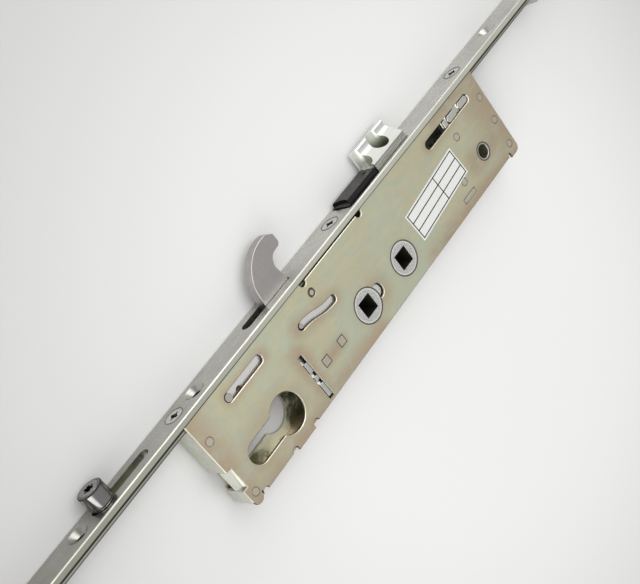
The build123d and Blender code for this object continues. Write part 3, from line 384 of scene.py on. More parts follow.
def follower_zinc(name, x):
    """The casting of a follower, paler along its rim, with painted shade down inside its square."""

    def shade(build, colour):
        sides = build.split(build.place())
        off = build.math("SUBTRACT", sides["X"], x * MM)
        rim = build.ramp(build.away(off, sides["Y"]), *(r * MM for r in FOLLOWER_RIM))
        furthest = build.largest(build.math("ABSOLUTE", off), build.math("ABSOLUTE", sides["Y"]))
        # painted shade down inside the square, below the lit top of its walls
        shaded_deep = build.math("MULTIPLY", build.math("LESS_THAN", furthest, SQUARE_HALF * MM),
                          build.math("LESS_THAN", sides["Z"], COVER_TOP - SQUARE_LIT * MM))
        return build.mix(shaded_deep, build.mix(rim, colour, FOLLOWER_RIM_COLOUR), SQUARE_SHADE_COLOUR)

    return cast_metal(name, *FOLLOWER_SKIN, shade)


# The latch's pockets and its flat side, in millimetres: each span is where one colour
# goes over into the next
POCKET_X = (124.3, 110.4)       # centres
POCKET_EDGE = (4.15, 4.3)       # radii
POCKET_DEEP_Y = (37.3, 43.0)
POCKET_SPLIT_X = (115.0, 118.0)
LAND_Y = (38.4, 38.6)
LAND_Z = (5.35, 5.5)
NICKEL = ((0.80, 0.80, 0.765), (0.90, 0.895, 0.86))
# Painted shade on the flat side; in the pockets painted shade deep down and painted light further
# out the way the bolt throws
NICKEL_LAND_SHADE = ((0.36, 0.355, 0.32), (0.56, 0.555, 0.51))
POCKET_DEEP_SHADE = ((0.42, 0.43, 0.38), (0.13, 0.155, 0.09))
POCKET_LIT = (0.66, 0.69, 0.60)


def latch_nickel():
    """Bright satin nickel, with painted shade on the flat side, and pale green inside the pockets
    with painted shade deep down and painted light further out.
    """
    made, build, shader = new_material("latch_nickel")
    place = build.place()
    grain = build.use(GRAIN, Place=build.mapping(place, scale=SHEET_GRAIN_X), Fineness=1300.0)
    lines = grain["Lines"]
    sides = build.split(place)

    def ramp(value, span, *onto):
        return build.ramp(value, *(at * MM for at in span), *onto)

    offsets = (build.math("SUBTRACT", sides["X"], x * MM) for x in POCKET_X)
    pocket = build.largest(*(ramp(build.away(off, sides["Z"]), POCKET_EDGE, 1.0, 0.0)
                             for off in offsets))
    land = build.math("MULTIPLY", ramp(sides["Z"], LAND_Z), ramp(sides["Y"], LAND_Y, 1.0, 0.0))
    bright = build.mix(lines, *NICKEL)
    land_shade = build.mix(build.ramp(lines, 0.35, 0.65), *NICKEL_LAND_SHADE)
    shade = build.mix(ramp(sides["X"], POCKET_SPLIT_X), *POCKET_DEEP_SHADE)
    hollow = build.mix(ramp(sides["Y"], POCKET_DEEP_Y), shade, POCKET_LIT)
    colour = build.mix(pocket, build.mix(land, bright, land_shade), hollow)
    build.join(build.math("SUBTRACT", 1.0, build.math("MULTIPLY", pocket, 0.3)), shader["Metallic"])
    rough = build.ramp(lines, *NOISE_SPAN, 0.26, 0.34)
    surface(build, shader, colour, rough, lines, depth=0.0012 * MM)
    return made


BRIGHT_SPOT = (0.90, 0.91, 0.82)


def mottled_zinc(name, dark, light, steps):
    """Greenish blotched zinc with a few bright spots, lighter or darker along X by steps."""
    made, build, shader = new_material(name, metallic=0.7)
    place = build.place()
    blots = build.noise(place, 85.0, detail=4.0, rough=0.6, warp=1.0)
    fine = build.noise(place, 260.0, rough=0.6, warp=0.5)
    shift = 0.0
    for low_x, high_x, low, high in steps:
        step = build.ramp(build.split(place)["X"], low_x * MM, high_x * MM, low, high)
        shift = build.math("ADD", shift, step)
    tone = build.math("ADD", build.weigh(blots, fine, 0.65), shift)
    colour = build.mix(build.ramp(tone, 0.38, 0.60), dark, light)
    spots = build.ramp(build.math("ADD", blots, shift), 0.62, 0.70)
    colour = build.mix(spots, colour, BRIGHT_SPOT)
    rough = build.ramp(fine, *NOISE_SPAN, 0.25, 0.5)
    surface(build, shader, colour, rough, tone, depth=0.16 * MM)
    return made


def dark_steel(name, dark, light, metallic=0.5):
    """Sheared edges and seams, and painted shade on rims, in recesses and in gaps."""
    made, build, shader = new_material(name, metallic=metallic)
    marks = build.use(SPECKLE, Place=build.place(), Size=0.7 * MM)
    colour = build.mix(marks["Pits"], dark, light)
    rough = build.ramp(marks["Rubs"], 0.0, 1.0, 0.6, 0.45)
    surface(build, shader, colour, rough, marks["Pits"], depth=0.02 * MM)
    return made


# Where the rail's bright band comes up and fades, in millimetres from its rear edge
BAND_STARTS = (0.25, 0.5)
BAND_ENDS = (1.0, 1.3)
BAND_COLOURS = ((0.26, 0.26, 0.215), (0.42, 0.42, 0.37))
RAIL_GAP_SHADOW = (0.035, 0.033, 0.022)


def rail_side():
    """The rail's side: bright along its middle, with painted shadow in the gap and along its rear
    edge.
    """
    made, build, shader = new_material("rail_side", metallic=0.8)
    place = build.place()
    grain = build.use(GRAIN, Place=build.mapping(place, scale=GRAIN_X), Fineness=2000.0)
    lines = grain["Lines"]
    y = build.split(place)["Y"]
    starts, ends = ([RAIL_REAR + off * MM for off in span] for span in (BAND_STARTS, BAND_ENDS))
    bright = build.math("MULTIPLY", build.ramp(y, *starts), build.ramp(y, *ends, 1.0, 0.0))
    colour = build.mix(bright, RAIL_GAP_SHADOW, build.mix(lines, *BAND_COLOURS))
    rough = build.ramp(lines, *NOISE_SPAN, 0.32, 0.45)
    surface(build, shader, colour, rough, lines, depth=0.006 * MM)
    return made


TRIGGER_LIT_FRONT = ((0.050, 0.048, 0.044), (0.078, 0.075, 0.068))
TRIGGER_SHADED_SIDE = (0.004, 0.004, 0.004)


def trigger_black():
    """Black plastic, with painted light on the face that looks the way the bolts throw and painted
    shade, near black, on its other faces.
    """
    made, build, shader = new_material("trigger_black", metallic=0.0, Specular_IOR_Level=0.12)
    marks = build.use(SPECKLE, Place=build.place(), Size=0.5 * MM)
    way = build.split(build.node("ShaderNodeNewGeometry").outputs["Normal"])
    lit_front = build.mix(marks["Rubs"], *TRIGGER_LIT_FRONT)
    # painted light on the front face, painted shade on the others
    colour = build.mix(build.ramp(way["Y"], 0.80, 0.99), TRIGGER_SHADED_SIDE, lit_front)
    rough = build.ramp(marks["Pits"], 0.0, 1.0, 0.36, 0.50)
    surface(build, shader, colour, rough, marks["Pits"], depth=0.01 * MM)
    return made


# The paper label, in degrees and millimetres, the ruling from its centre along its own sides
LABEL_TURN = 4.8
LABEL_AT = (128.1, 6.15)
RULED_LONG = 42.0
RULED_WIDE = 13.1
RULE_WIDTH = 0.56
RULE_BLUR = 0.1 * RULE_WIDTH
RULE_END_BLUR = 0.08
LABEL_ROWS = 3
DIVIDER = 3.5
PAPER = ((0.54, 0.54, 0.525), (0.62, 0.62, 0.60))
INK = (0.02, 0.02, 0.022)


def label_paper():
    """Off-white paper with a ruled table whose cells are bare."""
    made, build, shader = new_material("label_paper", metallic=0.0, Specular_IOR_Level=0.3)
    at = build.mapping(build.place(), at=(-LABEL_AT[0] * MM, -LABEL_AT[1] * MM, 0))
    sides = build.split(build.mapping(at, turn=-LABEL_TURN, scale=(1 / MM,) * 3))
    half_long, half_wide, half_rule = RULED_LONG / 2, RULED_WIDE / 2, RULE_WIDTH / 2

    def rule(value, centre):
        gap = build.math("ABSOLUTE", build.math("SUBTRACT", value, centre))
        return build.ramp(gap, half_rule - RULE_BLUR, half_rule + RULE_BLUR, 1.0, 0.0)

    def within(value, half):
        return build.ramp(build.math("ABSOLUTE", value), half, half + RULE_END_BLUR, 1.0, 0.0)

    rows = (-half_wide + RULED_WIDE * k / LABEL_ROWS for k in range(LABEL_ROWS + 1))
    columns = (-half_long, DIVIDER, half_long)
    across = build.math("MULTIPLY", build.largest(*(rule(sides["Y"], y) for y in rows)),
                        within(sides["X"], half_long + half_rule))
    down = build.math("MULTIPLY", build.largest(*(rule(sides["X"], x) for x in columns)),
                      within(sides["Y"], half_wide + half_rule))
    fibre = build.noise(build.place(), 1500.0)
    colour = build.mix(build.largest(across, down), build.mix(fibre, *PAPER), INK)
    rough = build.ramp(fibre, *NOISE_SPAN, 0.5, 0.65)
    surface(build, shader, colour, rough, fibre, depth=0.008 * MM)
    return made


# The finish of each material slot of the record
FINISH = {
    # the first colours are the strip's low end in painted shade, the second its upper end
    "faceplate_zinc": strip_zinc("faceplate_zinc", ((0.33, 0.325, 0.29), (0.42, 0.415, 0.38)),
                                 ((0.49, 0.485, 0.45), (0.60, 0.595, 0.555))),
    "case_zinc": case_zinc(),
    "screw_steel": drawn_steel("screw_steel", (0.56, 0.56, 0.55), (0.68, 0.68, 0.66), SHEEN,
                               GRAIN_EVEN),
    "cast_zinc": cast_metal("cast_zinc", (0.56, 0.57, 0.56), (0.68, 0.69, 0.68)),
    "pin_steel": drawn_steel("pin_steel", (0.50, 0.49, 0.43), (0.60, 0.59, 0.52), SATIN, GRAIN_EVEN),
    "bracket_steel": drawn_steel("bracket_steel", (0.62, 0.61, 0.55), (0.74, 0.73, 0.66), BRIGHT),
    "label_paper": label_paper(),
    "rail_steel": drawn_steel("rail_steel", (0.52, 0.52, 0.50), (0.64, 0.64, 0.61), DULL),
    "spring_steel": drawn_steel("spring_steel", (0.32, 0.32, 0.33), (0.42, 0.42, 0.43), SHEEN,
                                GRAIN_EVEN),
    "roller_steel": drawn_steel("roller_steel", (0.23, 0.225, 0.22), (0.30, 0.295, 0.29), POLISHED,
                                GRAIN_Y, depth=0.004 * MM),
    "hook_steel": drawn_steel("hook_steel", (0.38, 0.365, 0.355), (0.47, 0.45, 0.44), DULL,
                              SHORT_GRAIN_Y),
    "latch_nickel": latch_nickel(),
    "trigger_black": trigger_black(),
    "bar_steel": drawn_steel("bar_steel", (0.58, 0.58, 0.56), (0.68, 0.68, 0.65), SHEEN, GRAIN_Y),
}
STAKED_ZINC = case_zinc("staked_zinc", worn=0.45)
# Nodes with a finish of their own
OWN_FINISH = {
    "case_rivets": STAKED_ZINC,
    "square_pillars": STAKED_ZINC,
    "case_stake": STAKED_ZINC,
    "hook_pivot_pin": STAKED_ZINC,
    "screw_blocks": STAKED_ZINC,
    "slide_plate_upper": drawn_steel("slide_steel", (0.80, 0.775, 0.755), (0.94, 0.91, 0.89), SATIN),
    "lower_follower": follower_zinc("lower_follower_zinc", LOWER_SPINDLE_X),
    "upper_follower": follower_zinc("upper_follower_zinc", UPPER_SPINDLE_X),
}
# Edges and rims
EDGE_ZINC = drawn_steel("edge_zinc", (0.58, 0.55, 0.43), (0.72, 0.69, 0.57), MATT, GRAIN_EVEN)
# A painted highlight on the rims that face the strip near the cover's front edge
PAINTED_RIM_HIGHLIGHT = drawn_steel("edge_painted_highlight", (0.90, 0.86, 0.68), (0.99, 0.96, 0.80), SMOOTH, GRAIN_EVEN)
# A painted highlight along the hook's rounded edges
HOOK_RIM_HIGHLIGHT = drawn_steel("hook_rim_highlight", (0.66, 0.64, 0.60), (0.80, 0.78, 0.74), SMOOTH, GRAIN_EVEN)
# Sheared walls of the cover's openings, dark partly of their own and partly as painted shade; also
# painted shadow in the gap along the strip and painted shade in the hook slot, the bores, the
# screws' recesses and on the roller's rounded edges
CUT_AND_SHADED_ZINC = dark_steel("cut_and_shaded_zinc", (0.022, 0.018, 0.012), (0.065, 0.055, 0.038))
# Painted shade on the rims that face the rear and in the rear notches
RIM_SHADE = dark_steel("rim_shade", (0.075, 0.065, 0.045), (0.14, 0.12, 0.09))
# Sides, ends and walls
# The strip's sides: a lighter copy of the strip's zinc standing for the light they catch, with a
# painted shadow line along the rear edge
LIT_STRIP_SIDE = strip_zinc("strip_side", ((0.36, 0.36, 0.30), (0.46, 0.46, 0.39)),
                        ((0.66, 0.65, 0.565), (0.80, 0.79, 0.69)), SATIN, rear_shade=0.9)
# Painted shade: the roller's end face darker than its sides
ROLLER_END_SHADE = drawn_steel("roller_end_shade", (0.20, 0.20, 0.20), (0.28, 0.28, 0.28), TURNED, GRAIN_EVEN)
RAIL_SIDE = rail_side()
WALL_ZINC = drawn_steel("wall_zinc", (0.53, 0.54, 0.46), (0.67, 0.675, 0.60), PRESSED)
# Steps of tone: from X to X in millimetres, the shift before and the shift after. On the tray's
# floor they are painted shade: darker towards the low end and darker past X 7 mm, where the cover
# shades the keyhole.
RAIL_STEPS = ((-110.0, -50.0, -0.16, 0.10),)
TRAY_SHADE_STEPS = ((-26.0, -8.0, -0.16, 0.10), (1.0, 7.0, 0.0, -0.16))
RAIL_FRONT = mottled_zinc("rail_front", (0.07, 0.08, 0.03), (0.30, 0.335, 0.17), RAIL_STEPS)
INNER_ZINC = mottled_zinc("mottled_zinc", (0.20, 0.20, 0.105), (0.90, 0.92, 0.74), TRAY_SHADE_STEPS)
# Seams
SEAM_DARK = dark_steel("seam_dark", (0.035, 0.03, 0.022), (0.09, 0.078, 0.058), metallic=0.2)
SEAM_SOFT = dark_steel("seam_soft", (0.13, 0.115, 0.085), (0.25, 0.225, 0.18), metallic=0.3)


def finish_of(node):
    return OWN_FINISH.get(node) or FINISH[SLOT_OF[node]]


# Faces of a node that take a finish of their own. Spans and limits are in millimetres.

# How much of a face's normal lies along an axis: under WALL the face stands across it,
# over FACING it looks along it, over SQUARE it looks straight along it
WALL, FACING, SQUARE = 0.3, 0.5, 0.9

CUTS_X, CUTS_Y, CUTS_Z = (-33.0, 186.0), (-13.9, 31.8), (6.0, 7.2)
PLATE_X = (-34.0, 186.2)
STRIP_SIDE_Z = 7.5
RECESS_Y, RECESS_HALF = (30.0, 34.85), 2.4
HOOK_SLOT_X, HOOK_SLOT_HALF = (10.0, 44.0), 4.0
BORE_TOP_Y, BORE_HALF = 33.2, 5.0


def between(value, span):
    return span[0] * MM < value < span[1] * MM


def is_cut_wall(at, way):
    """A sheared side of one of the cover's openings."""
    return (abs(way.z) < WALL and between(at.z, CUTS_Z) and between(at.x, CUTS_X)
            and between(at.y, CUTS_Y))


def is_outer_wall(at, way):
    """An end wall, the corner's skirt or the sloping tab."""
    return way.z < SQUARE and not between(at.x, PLATE_X)


def is_strip_side(at, way):
    return abs(way.z) > SQUARE and abs(at.z) > STRIP_SIDE_Z * MM


def is_recess(at, way):
    """The key recess of a case screw, below its face."""
    return between(at.y, RECESS_Y) and abs(at.z) < RECESS_HALF * MM and way.y > -FACING


def is_end_face(at, way):
    """The face that looks the way the bolts throw."""
    return way.y > SQUARE


def is_hook_slot_wall(at, way):
    """The wall of the hook's slot in the strip."""
    return abs(way.y) < WALL and abs(at.z) < HOOK_SLOT_HALF * MM and between(at.x, HOOK_SLOT_X)


def is_bore(at, way):
    """The straight part of a screw hole, behind its countersink."""
    return abs(way.y) < WALL and abs(at.z) < BORE_HALF * MM and at.y < BORE_TOP_Y * MM


def is_tray_floor(at, way):
    return way.z > FACING and at.z < 0


def is_rail_side(at, way):
    return abs(way.z) > FACING


REGIONS = {
    "case_cover": ((CUT_AND_SHADED_ZINC, is_cut_wall), (WALL_ZINC, is_outer_wall)),
    "case_tray": ((INNER_ZINC, is_tray_floor),),
    "rail_lower": ((RAIL_SIDE, is_rail_side), (RAIL_FRONT, is_end_face)),
    "rail_upper": ((RAIL_SIDE, is_rail_side),),
    # On the strip: painted light on its sides, painted shade on the hook slot's wall and in the
    # bores
    "faceplate": ((LIT_STRIP_SIDE, is_strip_side), (CUT_AND_SHADED_ZINC, is_hook_slot_wall), (CUT_AND_SHADED_ZINC, is_bore)),
    "roller_sleeve": ((ROLLER_END_SHADE, is_end_face),),
    # painted shade down in the screws' recesses
    "case_screws": ((CUT_AND_SHADED_ZINC, is_recess),),
}


def paint_regions(mesh, regions):
    for finish, belongs in regions:
        mesh.materials.append(finish)
        index = len(mesh.materials) - 1
        for face in mesh.polygons:
            if face.material_index == 0 and belongs(face.center, face.normal):
                face.material_index = index


# Pieces shown in the place of their nodes

MERGED = 0.002 * MM             # corners of a node's triangles this near are one


def merged_copy(node):
    """A node's shape with the corners of its triangles merged."""
    shape = bmesh.new()
    shape.from_mesh(NODES[node].data)
    bmesh.ops.remove_doubles(shape, verts=shape.verts, dist=MERGED)
    return shape


def show_shape(node, shape):
    """The object that is shown in a node's place."""
    mesh = bpy.data.meshes.new(node + "_finished")
    shape.to_mesh(mesh)
    shape.free()
    mesh.materials.append(finish_of(node))
    piece = bpy.data.objects.new(node + "_finished", mesh)
    bpy.context.scene.collection.objects.link(piece)
    return piece


def keep_plain(piece, name):
    """Turns what the piece's modifiers make into its plain mesh."""
    graph = bpy.context.evaluated_depsgraph_get()
    done = bpy.data.meshes.new_from_object(piece.evaluated_get(graph))
    piece.modifiers.clear()
    piece.data = done
    done.name = name
    return done


def stand_in(piece, node):
    """Evens out the piece's normals, keeps it as a plain mesh and shows it in the node's place."""
    weigh = piece.modifiers.new("normals", "WEIGHTED_NORMAL")
    weigh.keep_sharp = True
    paint_regions(keep_plain(piece, node + "_finished"), REGIONS.get(node, ()))
    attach(piece, BODY_OF[node])
    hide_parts(node)


# The cover's upper edges are rolled over: how far each step goes inwards and how far down
ROLL_STEPS = ((0.14, 0.30), (0.22, 0.12))
ROLL_SHARP = radians(15.0)
SHORTEST_EDGE = 0.16 * MM
LEVEL = 0.01 * MM               # a corner this near the cover's top lies in it
WELD_PASSES = 4
WELDED = 0.001 * MM
RIM_FINISHES = (EDGE_ZINC, CUT_AND_SHADED_ZINC, RIM_SHADE, PAINTED_RIM_HIGHLIGHT)
ROLLED, RIM_GAP_SHADOW, RIM_SHADED, RIM_HIGHLIGHT = range(1, 5)    # their places in the cover's list
# Where the rim changes, in millimetres
STRIP_GAP_Y = 31.3
SET_BACK_X = (43.0, 87.1)       # here the cover's edge stands back from the strip
LIT_Y = 30.8
REAR_NOTCHES_Y = -11.4
REAR_LEAN = -0.33


def upper_face(shape):
    """The parts of the cover's upper face."""
    return [face for face in shape.faces
            if min(vert.co.z for vert in face.verts) > COVER_TOP - LEVEL]


def corners_of(faces):
    """The faces' corners, each once, in an order that every run repeats."""
    return dict.fromkeys(vert for face in faces for vert in face.verts)


def hold_back(kept, longest):
    """Draws back the points of an inset that ran too far at a sharp corner."""
    for vert in kept:
        for edge in vert.link_edges:
            other = edge.other_vert(vert)
            if other not in kept and edge.calc_length() > longest:
                vert.co = other.co.lerp(vert.co, longest / edge.calc_length())


def close_flips(shape):
    """Welds the short edges where slivers of the upper face have turned over."""
    for _ in range(WELD_PASSES):
        shape.normal_update()
        for face in upper_face(shape):
            if face.normal.z < 0:
                edge = min(face.edges, key=lambda side: side.calc_length())
                middle = (edge.verts[0].co + edge.verts[1].co) / 2
                for vert in edge.verts:
                    vert.co = middle
        bmesh.ops.remove_doubles(shape, verts=list(corners_of(upper_face(shape))), dist=WELDED)


def roll_rims(shape):
    """Rolls the edges of the cover's upper face over, and marks the new faces with ROLLED."""
    bmesh.ops.remove_doubles(shape, verts=list(corners_of(upper_face(shape))), dist=SHORTEST_EDGE)
    flat = dict.fromkeys(upper_face(shape))
    inner = [edge for edge in shape.edges
             if len(edge.link_faces) == 2 and all(face in flat for face in edge.link_faces)]
    bmesh.ops.beautify_fill(shape, faces=list(flat), edges=inner)
    for inward, down in ROLL_STEPS:
        top = upper_face(shape)
        made = bmesh.ops.inset_region(shape, faces=top, thickness=inward * MM, use_even_offset=True)
        for face in made["faces"]:
            face.material_index = ROLLED
        kept = corners_of(top)
        hold_back(kept, 2 * inward * MM)
        rolled = corners_of(face for face in shape.faces if face.material_index == ROLLED)
        for vert in rolled:
            if vert not in kept:
                vert.co.z -= down * MM
        close_flips(shape)


def rim_kind(at, way):
    """Which of the rim's finishes a rolled face takes: a painted shadow in the gap along the strip,
    a painted highlight where it faces the strip near the front edge, painted shade where it
    faces the rear and in the rear notches, plain elsewhere."""
    if at.y > STRIP_GAP_Y * MM and not between(at.x, SET_BACK_X):
        return RIM_GAP_SHADOW
    if at.y > LIT_Y * MM and way.y > WALL:
        return RIM_HIGHLIGHT
    return RIM_SHADED if way.y < REAR_LEAN or at.y < REAR_NOTCHES_Y * MM else ROLLED


def finish_cover():
    shape = merged_copy("case_cover")
    for face in shape.faces:
        face.smooth = True
    roll_rims(shape)
    shape.normal_update()
    for face in upper_face(shape):
        face.smooth = False
    for face in shape.faces:
        if face.material_index == ROLLED:
            face.material_index = rim_kind(face.calc_center_median(), face.normal)
    piece = show_shape("case_cover", shape)
    for finish in RIM_FINISHES:
        piece.data.materials.append(finish)
    piece.data.set_sharp_from_angle(angle=ROLL_SHARP)
    stand_in(piece, "case_cover")


# Pieces whose edges are softened, with the width of the softened edge in millimetres
SOFTENED = {
    "case_tray": 0.18,
    "faceplate": 0.12,
    "hook_bolt": 0.30,
    "latch_bolt": 0.16,
    "trigger": 0.30,
    "roller_sleeve": 0.22,
    "roller_stud": 0.15,
    "case_screws": 0.10,
    "lower_follower": 0.15,
    "upper_follower": 0.15,
    "lock_bar": 0.12,
    "guide_bracket": 0.20,
    "rail_lower": 0.12,
    "rail_upper": 0.12,
    "slide_plate_upper": 0.15,
    "case_rivets": 0.25,
    "square_pillars": 0.25,
    "case_stake": 0.25,
    "screw_bush": 0.25,
}
# Rounded edges with a finish of their own: the hook's a painted highlight, the roller's painted
# shade
EDGED = {"case_tray": EDGE_ZINC, "hook_bolt": HOOK_RIM_HIGHLIGHT, "roller_sleeve": CUT_AND_SHADED_ZINC}
FLAT_ANGLE = radians(0.8)
SHARP_ANGLE = radians(32.0)


def soften(node, width):
    """A copy of a node with its sharp edges rounded, shown in the node's place."""
    shape = merged_copy(node)
    bmesh.ops.dissolve_limit(shape, angle_limit=FLAT_ANGLE, verts=shape.verts, edges=shape.edges)
    piece = show_shape(node, shape)
    piece.data.shade_smooth()
    round_off = piece.modifiers.new("edges", "BEVEL")
    round_off.width = width * MM
    round_off.segments = 2
    round_off.limit_method = "ANGLE"
    round_off.angle_limit = SHARP_ANGLE
    round_off.harden_normals = True
    if node in EDGED:
        piece.data.materials.append(EDGED[node])
        round_off.material = 1
    stand_in(piece, node)


def dress_nodes():
    for node, part in NODES.items():
        part.data.materials.clear()
        part.data.materials.append(finish_of(node))
    finish_cover()
    for node, width in SOFTENED.items():
        soften(node, width)


# Dark seams round the heads that are staked into the cover and round the case screws

SEAM_SUNK = 0.05 * MM           # how far a seam's middle lies under the surface
ROUND_SEAMS = (
    # radius, half the seam's width, finish, centres
    (1.85, 0.24, SEAM_SOFT, ((-32.6, -9.5), (157.0, 15.9), (182.9, 5.6), (182.5, -8.6),
                             (145.5, -1.5), (-32.7, 19.8), (182.8, 19.1))),
    (1.5, 0.40, SEAM_DARK, ((44.1, 25.0),)),
    (4.3, 0.30, SEAM_DARK, ((165.8, 0.2),)),
    (7.9, 0.32, SEAM_DARK, ((LOWER_SPINDLE_X, 0.0), (UPPER_SPINDLE_X, 0.0))),
)
BOXED_SEAMS = (
    # length, width, half the seam's width, finish, centres
    (3.95, 3.95, 0.24, SEAM_DARK, ((29.2, 0.1), (40.8, 0.1))),
    (9.5, 2.5, 0.22, SEAM_SOFT, ((143.7, -8.4),)),
)
SCREW_SEAM_X = (-33.4, 76.8, 183.4)
SCREW_SEAM_R = 4.25
SCREW_SEAM_HALF = 0.28
RING_STEPS, SECTION_STEPS = 64, 8
ON_COVER = Matrix.Translation((0, 0, COVER_TOP - SEAM_SUNK))
ON_STRIP = (Matrix.Translation((0, STRIP_FRONT - SEAM_SUNK, 0))
            @ Matrix.Rotation(radians(-90), 4, "X"))


def seam_tree(name, outline, sizes):
    """Instances a closed seam on every point: an outline swept with a small round section."""
    tree = bpy.data.node_groups.new(name, "GeometryNodeTree")
    sockets = [("Geometry", "INPUT", "NodeSocketGeometry")]
    sockets += [(title, "INPUT", "NodeSocketFloat") for title in (*sizes, "Half Width")]
    sockets += [("Finish", "INPUT", "NodeSocketMaterial"),
                ("Geometry", "OUTPUT", "NodeSocketGeometry")]
    for title, way, kind in sockets:
        tree.interface.new_socket(title, in_out=way, socket_type=kind)
    build = Tree(tree)
    given = build.node("NodeGroupInput").outputs
    curve = build.node(outline)
    for title in sizes:
        build.join(given[title], curve.inputs[title])
    if "Resolution" in curve.inputs:
        curve.inputs["Resolution"].default_value = RING_STEPS
    section = build.node("GeometryNodeCurvePrimitiveCircle")
    section.inputs["Resolution"].default_value = SECTION_STEPS
    build.join(given["Half Width"], section.inputs["Radius"])
    swept = build.node("GeometryNodeCurveToMesh")
    build.join(curve.outputs["Curve"], swept.inputs["Curve"])
    build.join(section.outputs["Curve"], swept.inputs["Profile Curve"])
    spread = build.node("GeometryNodeInstanceOnPoints")
    build.join(given["Geometry"], spread.inputs["Points"])
    build.join(swept.outputs["Mesh"], spread.inputs["Instance"])
    real = build.node("GeometryNodeRealizeInstances")
    build.join(spread.outputs["Instances"], real.inputs["Geometry"])
    paint = build.node("GeometryNodeSetMaterial")
    build.join(real.outputs["Geometry"], paint.inputs["Geometry"])
    build.join(given["Finish"], paint.inputs["Material"])
    build.join(paint.outputs["Geometry"], build.node("NodeGroupOutput").inputs["Geometry"])
    return tree


def lay_seams(name, tree, centres, finish, half_width, stand=ON_COVER, **sizes):
    """Runs a seam tree on the centres, all in millimetres, and keeps the seams as one plain mesh."""
    mesh = bpy.data.meshes.new(name + "_points")
    mesh.from_pydata([(x * MM, y * MM, 0) for x, y in centres], [], [])
    piece = bpy.data.objects.new(name, mesh)
    bpy.context.scene.collection.objects.link(piece)
    grown = piece.modifiers.new("grow", "NODES")
    grown.node_group = tree
    values = {title: size * MM for title, size in sizes.items()}
    values.update({"Half Width": half_width * MM, "Finish": finish})
    for item in tree.interface.items_tree:
        if item.in_out == "INPUT" and item.name in values:
            grown[item.identifier] = values[item.name]
    done = keep_plain(piece, name)
    done.transform(stand)
    done.shade_smooth()
    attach(piece, "case_frame")


def make_seams():
    round_tree = seam_tree("round_seam", "GeometryNodeCurvePrimitiveCircle", ("Radius",))
    boxed_tree = seam_tree("boxed_seam", "GeometryNodeCurvePrimitiveQuadrilateral",
                           ("Width", "Height"))
    for k, (radius, half, finish, centres) in enumerate(ROUND_SEAMS):
        lay_seams("round_seams_%d" % k, round_tree, centres, finish, half, Radius=radius)
    for k, (long, wide, half, finish, centres) in enumerate(BOXED_SEAMS):
        lay_seams("boxed_seams_%d" % k, boxed_tree, centres, finish, half, Width=long, Height=wide)
    centres = [(x, 0) for x in SCREW_SEAM_X]
    lay_seams("screw_seams", round_tree, centres, SEAM_SOFT, SCREW_SEAM_HALF, stand=ON_STRIP,
              Radius=SCREW_SEAM_R)


# Studio, in metres and watts

FLOOR_HALF = 3.0
FLOOR_GAP = 0.05 * MM
# A painted pool of light on the floor: brightest here and darker further away
FLOOR_LIGHT_POOL_AT = (0.112, -0.060)
FLOOR_FALL = (0.08, 0.35)       # from here to there the floor grows a little darker
FLOOR_COLOURS = ((0.655, 0.655, 0.648), (0.40, 0.398, 0.397))
LAMPS = (
    # place, size, power
    ("overhead", (0.1, 0.5, 1.3), (1.2, 1.0), 9.0),
    ("side", (-0.9, 0.3, 0.7), (0.8, 0.8), 4.0),
)
LAMPS_TOWARDS = (0.05, 0.0, 0.0)
SKY_LOW = (0.34, 0.34, 0.345)
SKY_HIGH = (0.60, 0.60, 0.60)
SKY_RISE = (-0.1, 0.9)          # heights of a direction, from the low colour to the high one
SOFTBOXES = (
    # direction, outer and inner half angle in degrees, strength
    ((0.38, 0.80, 0.44), 36.0, 12.0, 2.3),
    ((-0.84, -0.44, 0.33), 36.0, 16.0, 3.0),
)
# The camera, as fitted to the photograph
CAMERA_AT = (-0.17621, 0.20230, 0.37402)
CAMERA_TURN = (3.649, -37.821, -46.854)
CAMERA_LENS = 63.51
CAMERA_SENSOR = 36.0
CAMERA_SHIFT = (-0.0011, 0.0390)
CAMERA_CLIP = (0.01, 20.0)


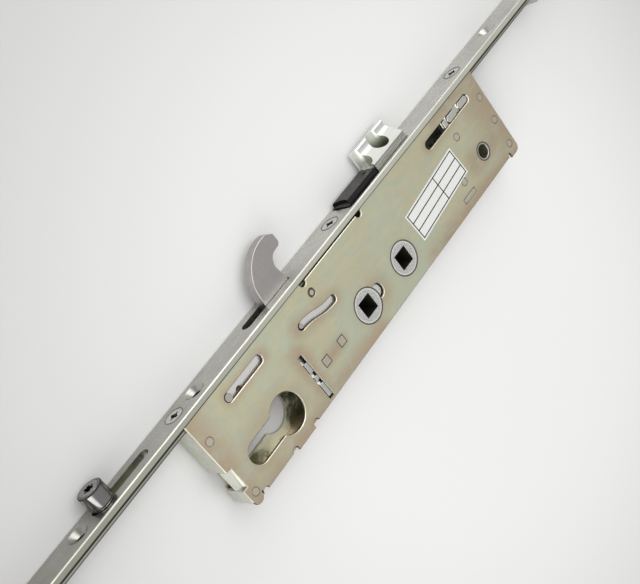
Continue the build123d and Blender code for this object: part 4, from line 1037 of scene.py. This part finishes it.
def make_floor():
    made, build, shader = new_material("floor_white", metallic=0.0, Roughness=0.9,
                                       Specular_IOR_Level=0.1)
    away = build.vector("DISTANCE", build.place(), (*FLOOR_LIGHT_POOL_AT, FLOOR_Z))
    build.join(build.mix(build.ramp(away, *FLOOR_FALL), *FLOOR_COLOURS), shader["Base Color"])
    mesh = bpy.data.meshes.new("floor")
    corners = ((-1, -1), (1, -1), (1, 1), (-1, 1))
    mesh.from_pydata([(x * FLOOR_HALF, y * FLOOR_HALF, FLOOR_Z - FLOOR_GAP) for x, y in corners],
                     [], [(0, 1, 2, 3)])
    mesh.materials.append(made)
    floor = bpy.data.objects.new("floor", mesh)
    bpy.context.scene.collection.objects.link(floor)


def make_lamps():
    for name, at, size, power in LAMPS:
        lamp = bpy.data.lights.new(name, "AREA")
        lamp.shape = "RECTANGLE"
        lamp.size, lamp.size_y = size
        lamp.energy = power
        holder = bpy.data.objects.new(name, lamp)
        holder.location = at
        way = Vector(LAMPS_TOWARDS) - Vector(at)
        holder.rotation_euler = way.to_track_quat("-Z", "Y").to_euler()
        bpy.context.scene.collection.objects.link(holder)


def make_world():
    world = bpy.data.worlds.new("studio")
    bpy.context.scene.world = world
    world.use_nodes = True
    build = Tree(world.node_tree)
    back = world.node_tree.nodes["Background"]
    way = build.node("ShaderNodeTexCoord").outputs["Generated"]
    sky = build.mix(build.ramp(build.split(way)["Z"], *SKY_RISE), SKY_LOW, SKY_HIGH)
    for towards, outer, inner, strength in SOFTBOXES:
        facing = build.vector("DOT_PRODUCT", way, Vector(towards).normalized())
        near = build.ramp(facing, cos(radians(outer)), cos(radians(inner)))
        sky = build.mix(near, sky, (strength,) * 3)
    build.join(sky, back.inputs["Color"])
    back.inputs["Strength"].default_value = 1.0


def make_camera():
    lens = bpy.data.cameras.new("camera")
    lens.lens = CAMERA_LENS
    lens.sensor_width = CAMERA_SENSOR
    lens.shift_x, lens.shift_y = CAMERA_SHIFT
    lens.clip_start, lens.clip_end = CAMERA_CLIP
    camera = bpy.data.objects.new("camera", lens)
    camera.location = CAMERA_AT
    camera.rotation_euler = [radians(angle) for angle in CAMERA_TURN]
    bpy.context.scene.collection.objects.link(camera)
    bpy.context.scene.camera = camera


make_camera()
dress_nodes()
make_seams()
make_floor()
make_world()
make_lamps()
bpy.context.scene.view_settings.view_transform = "Standard"
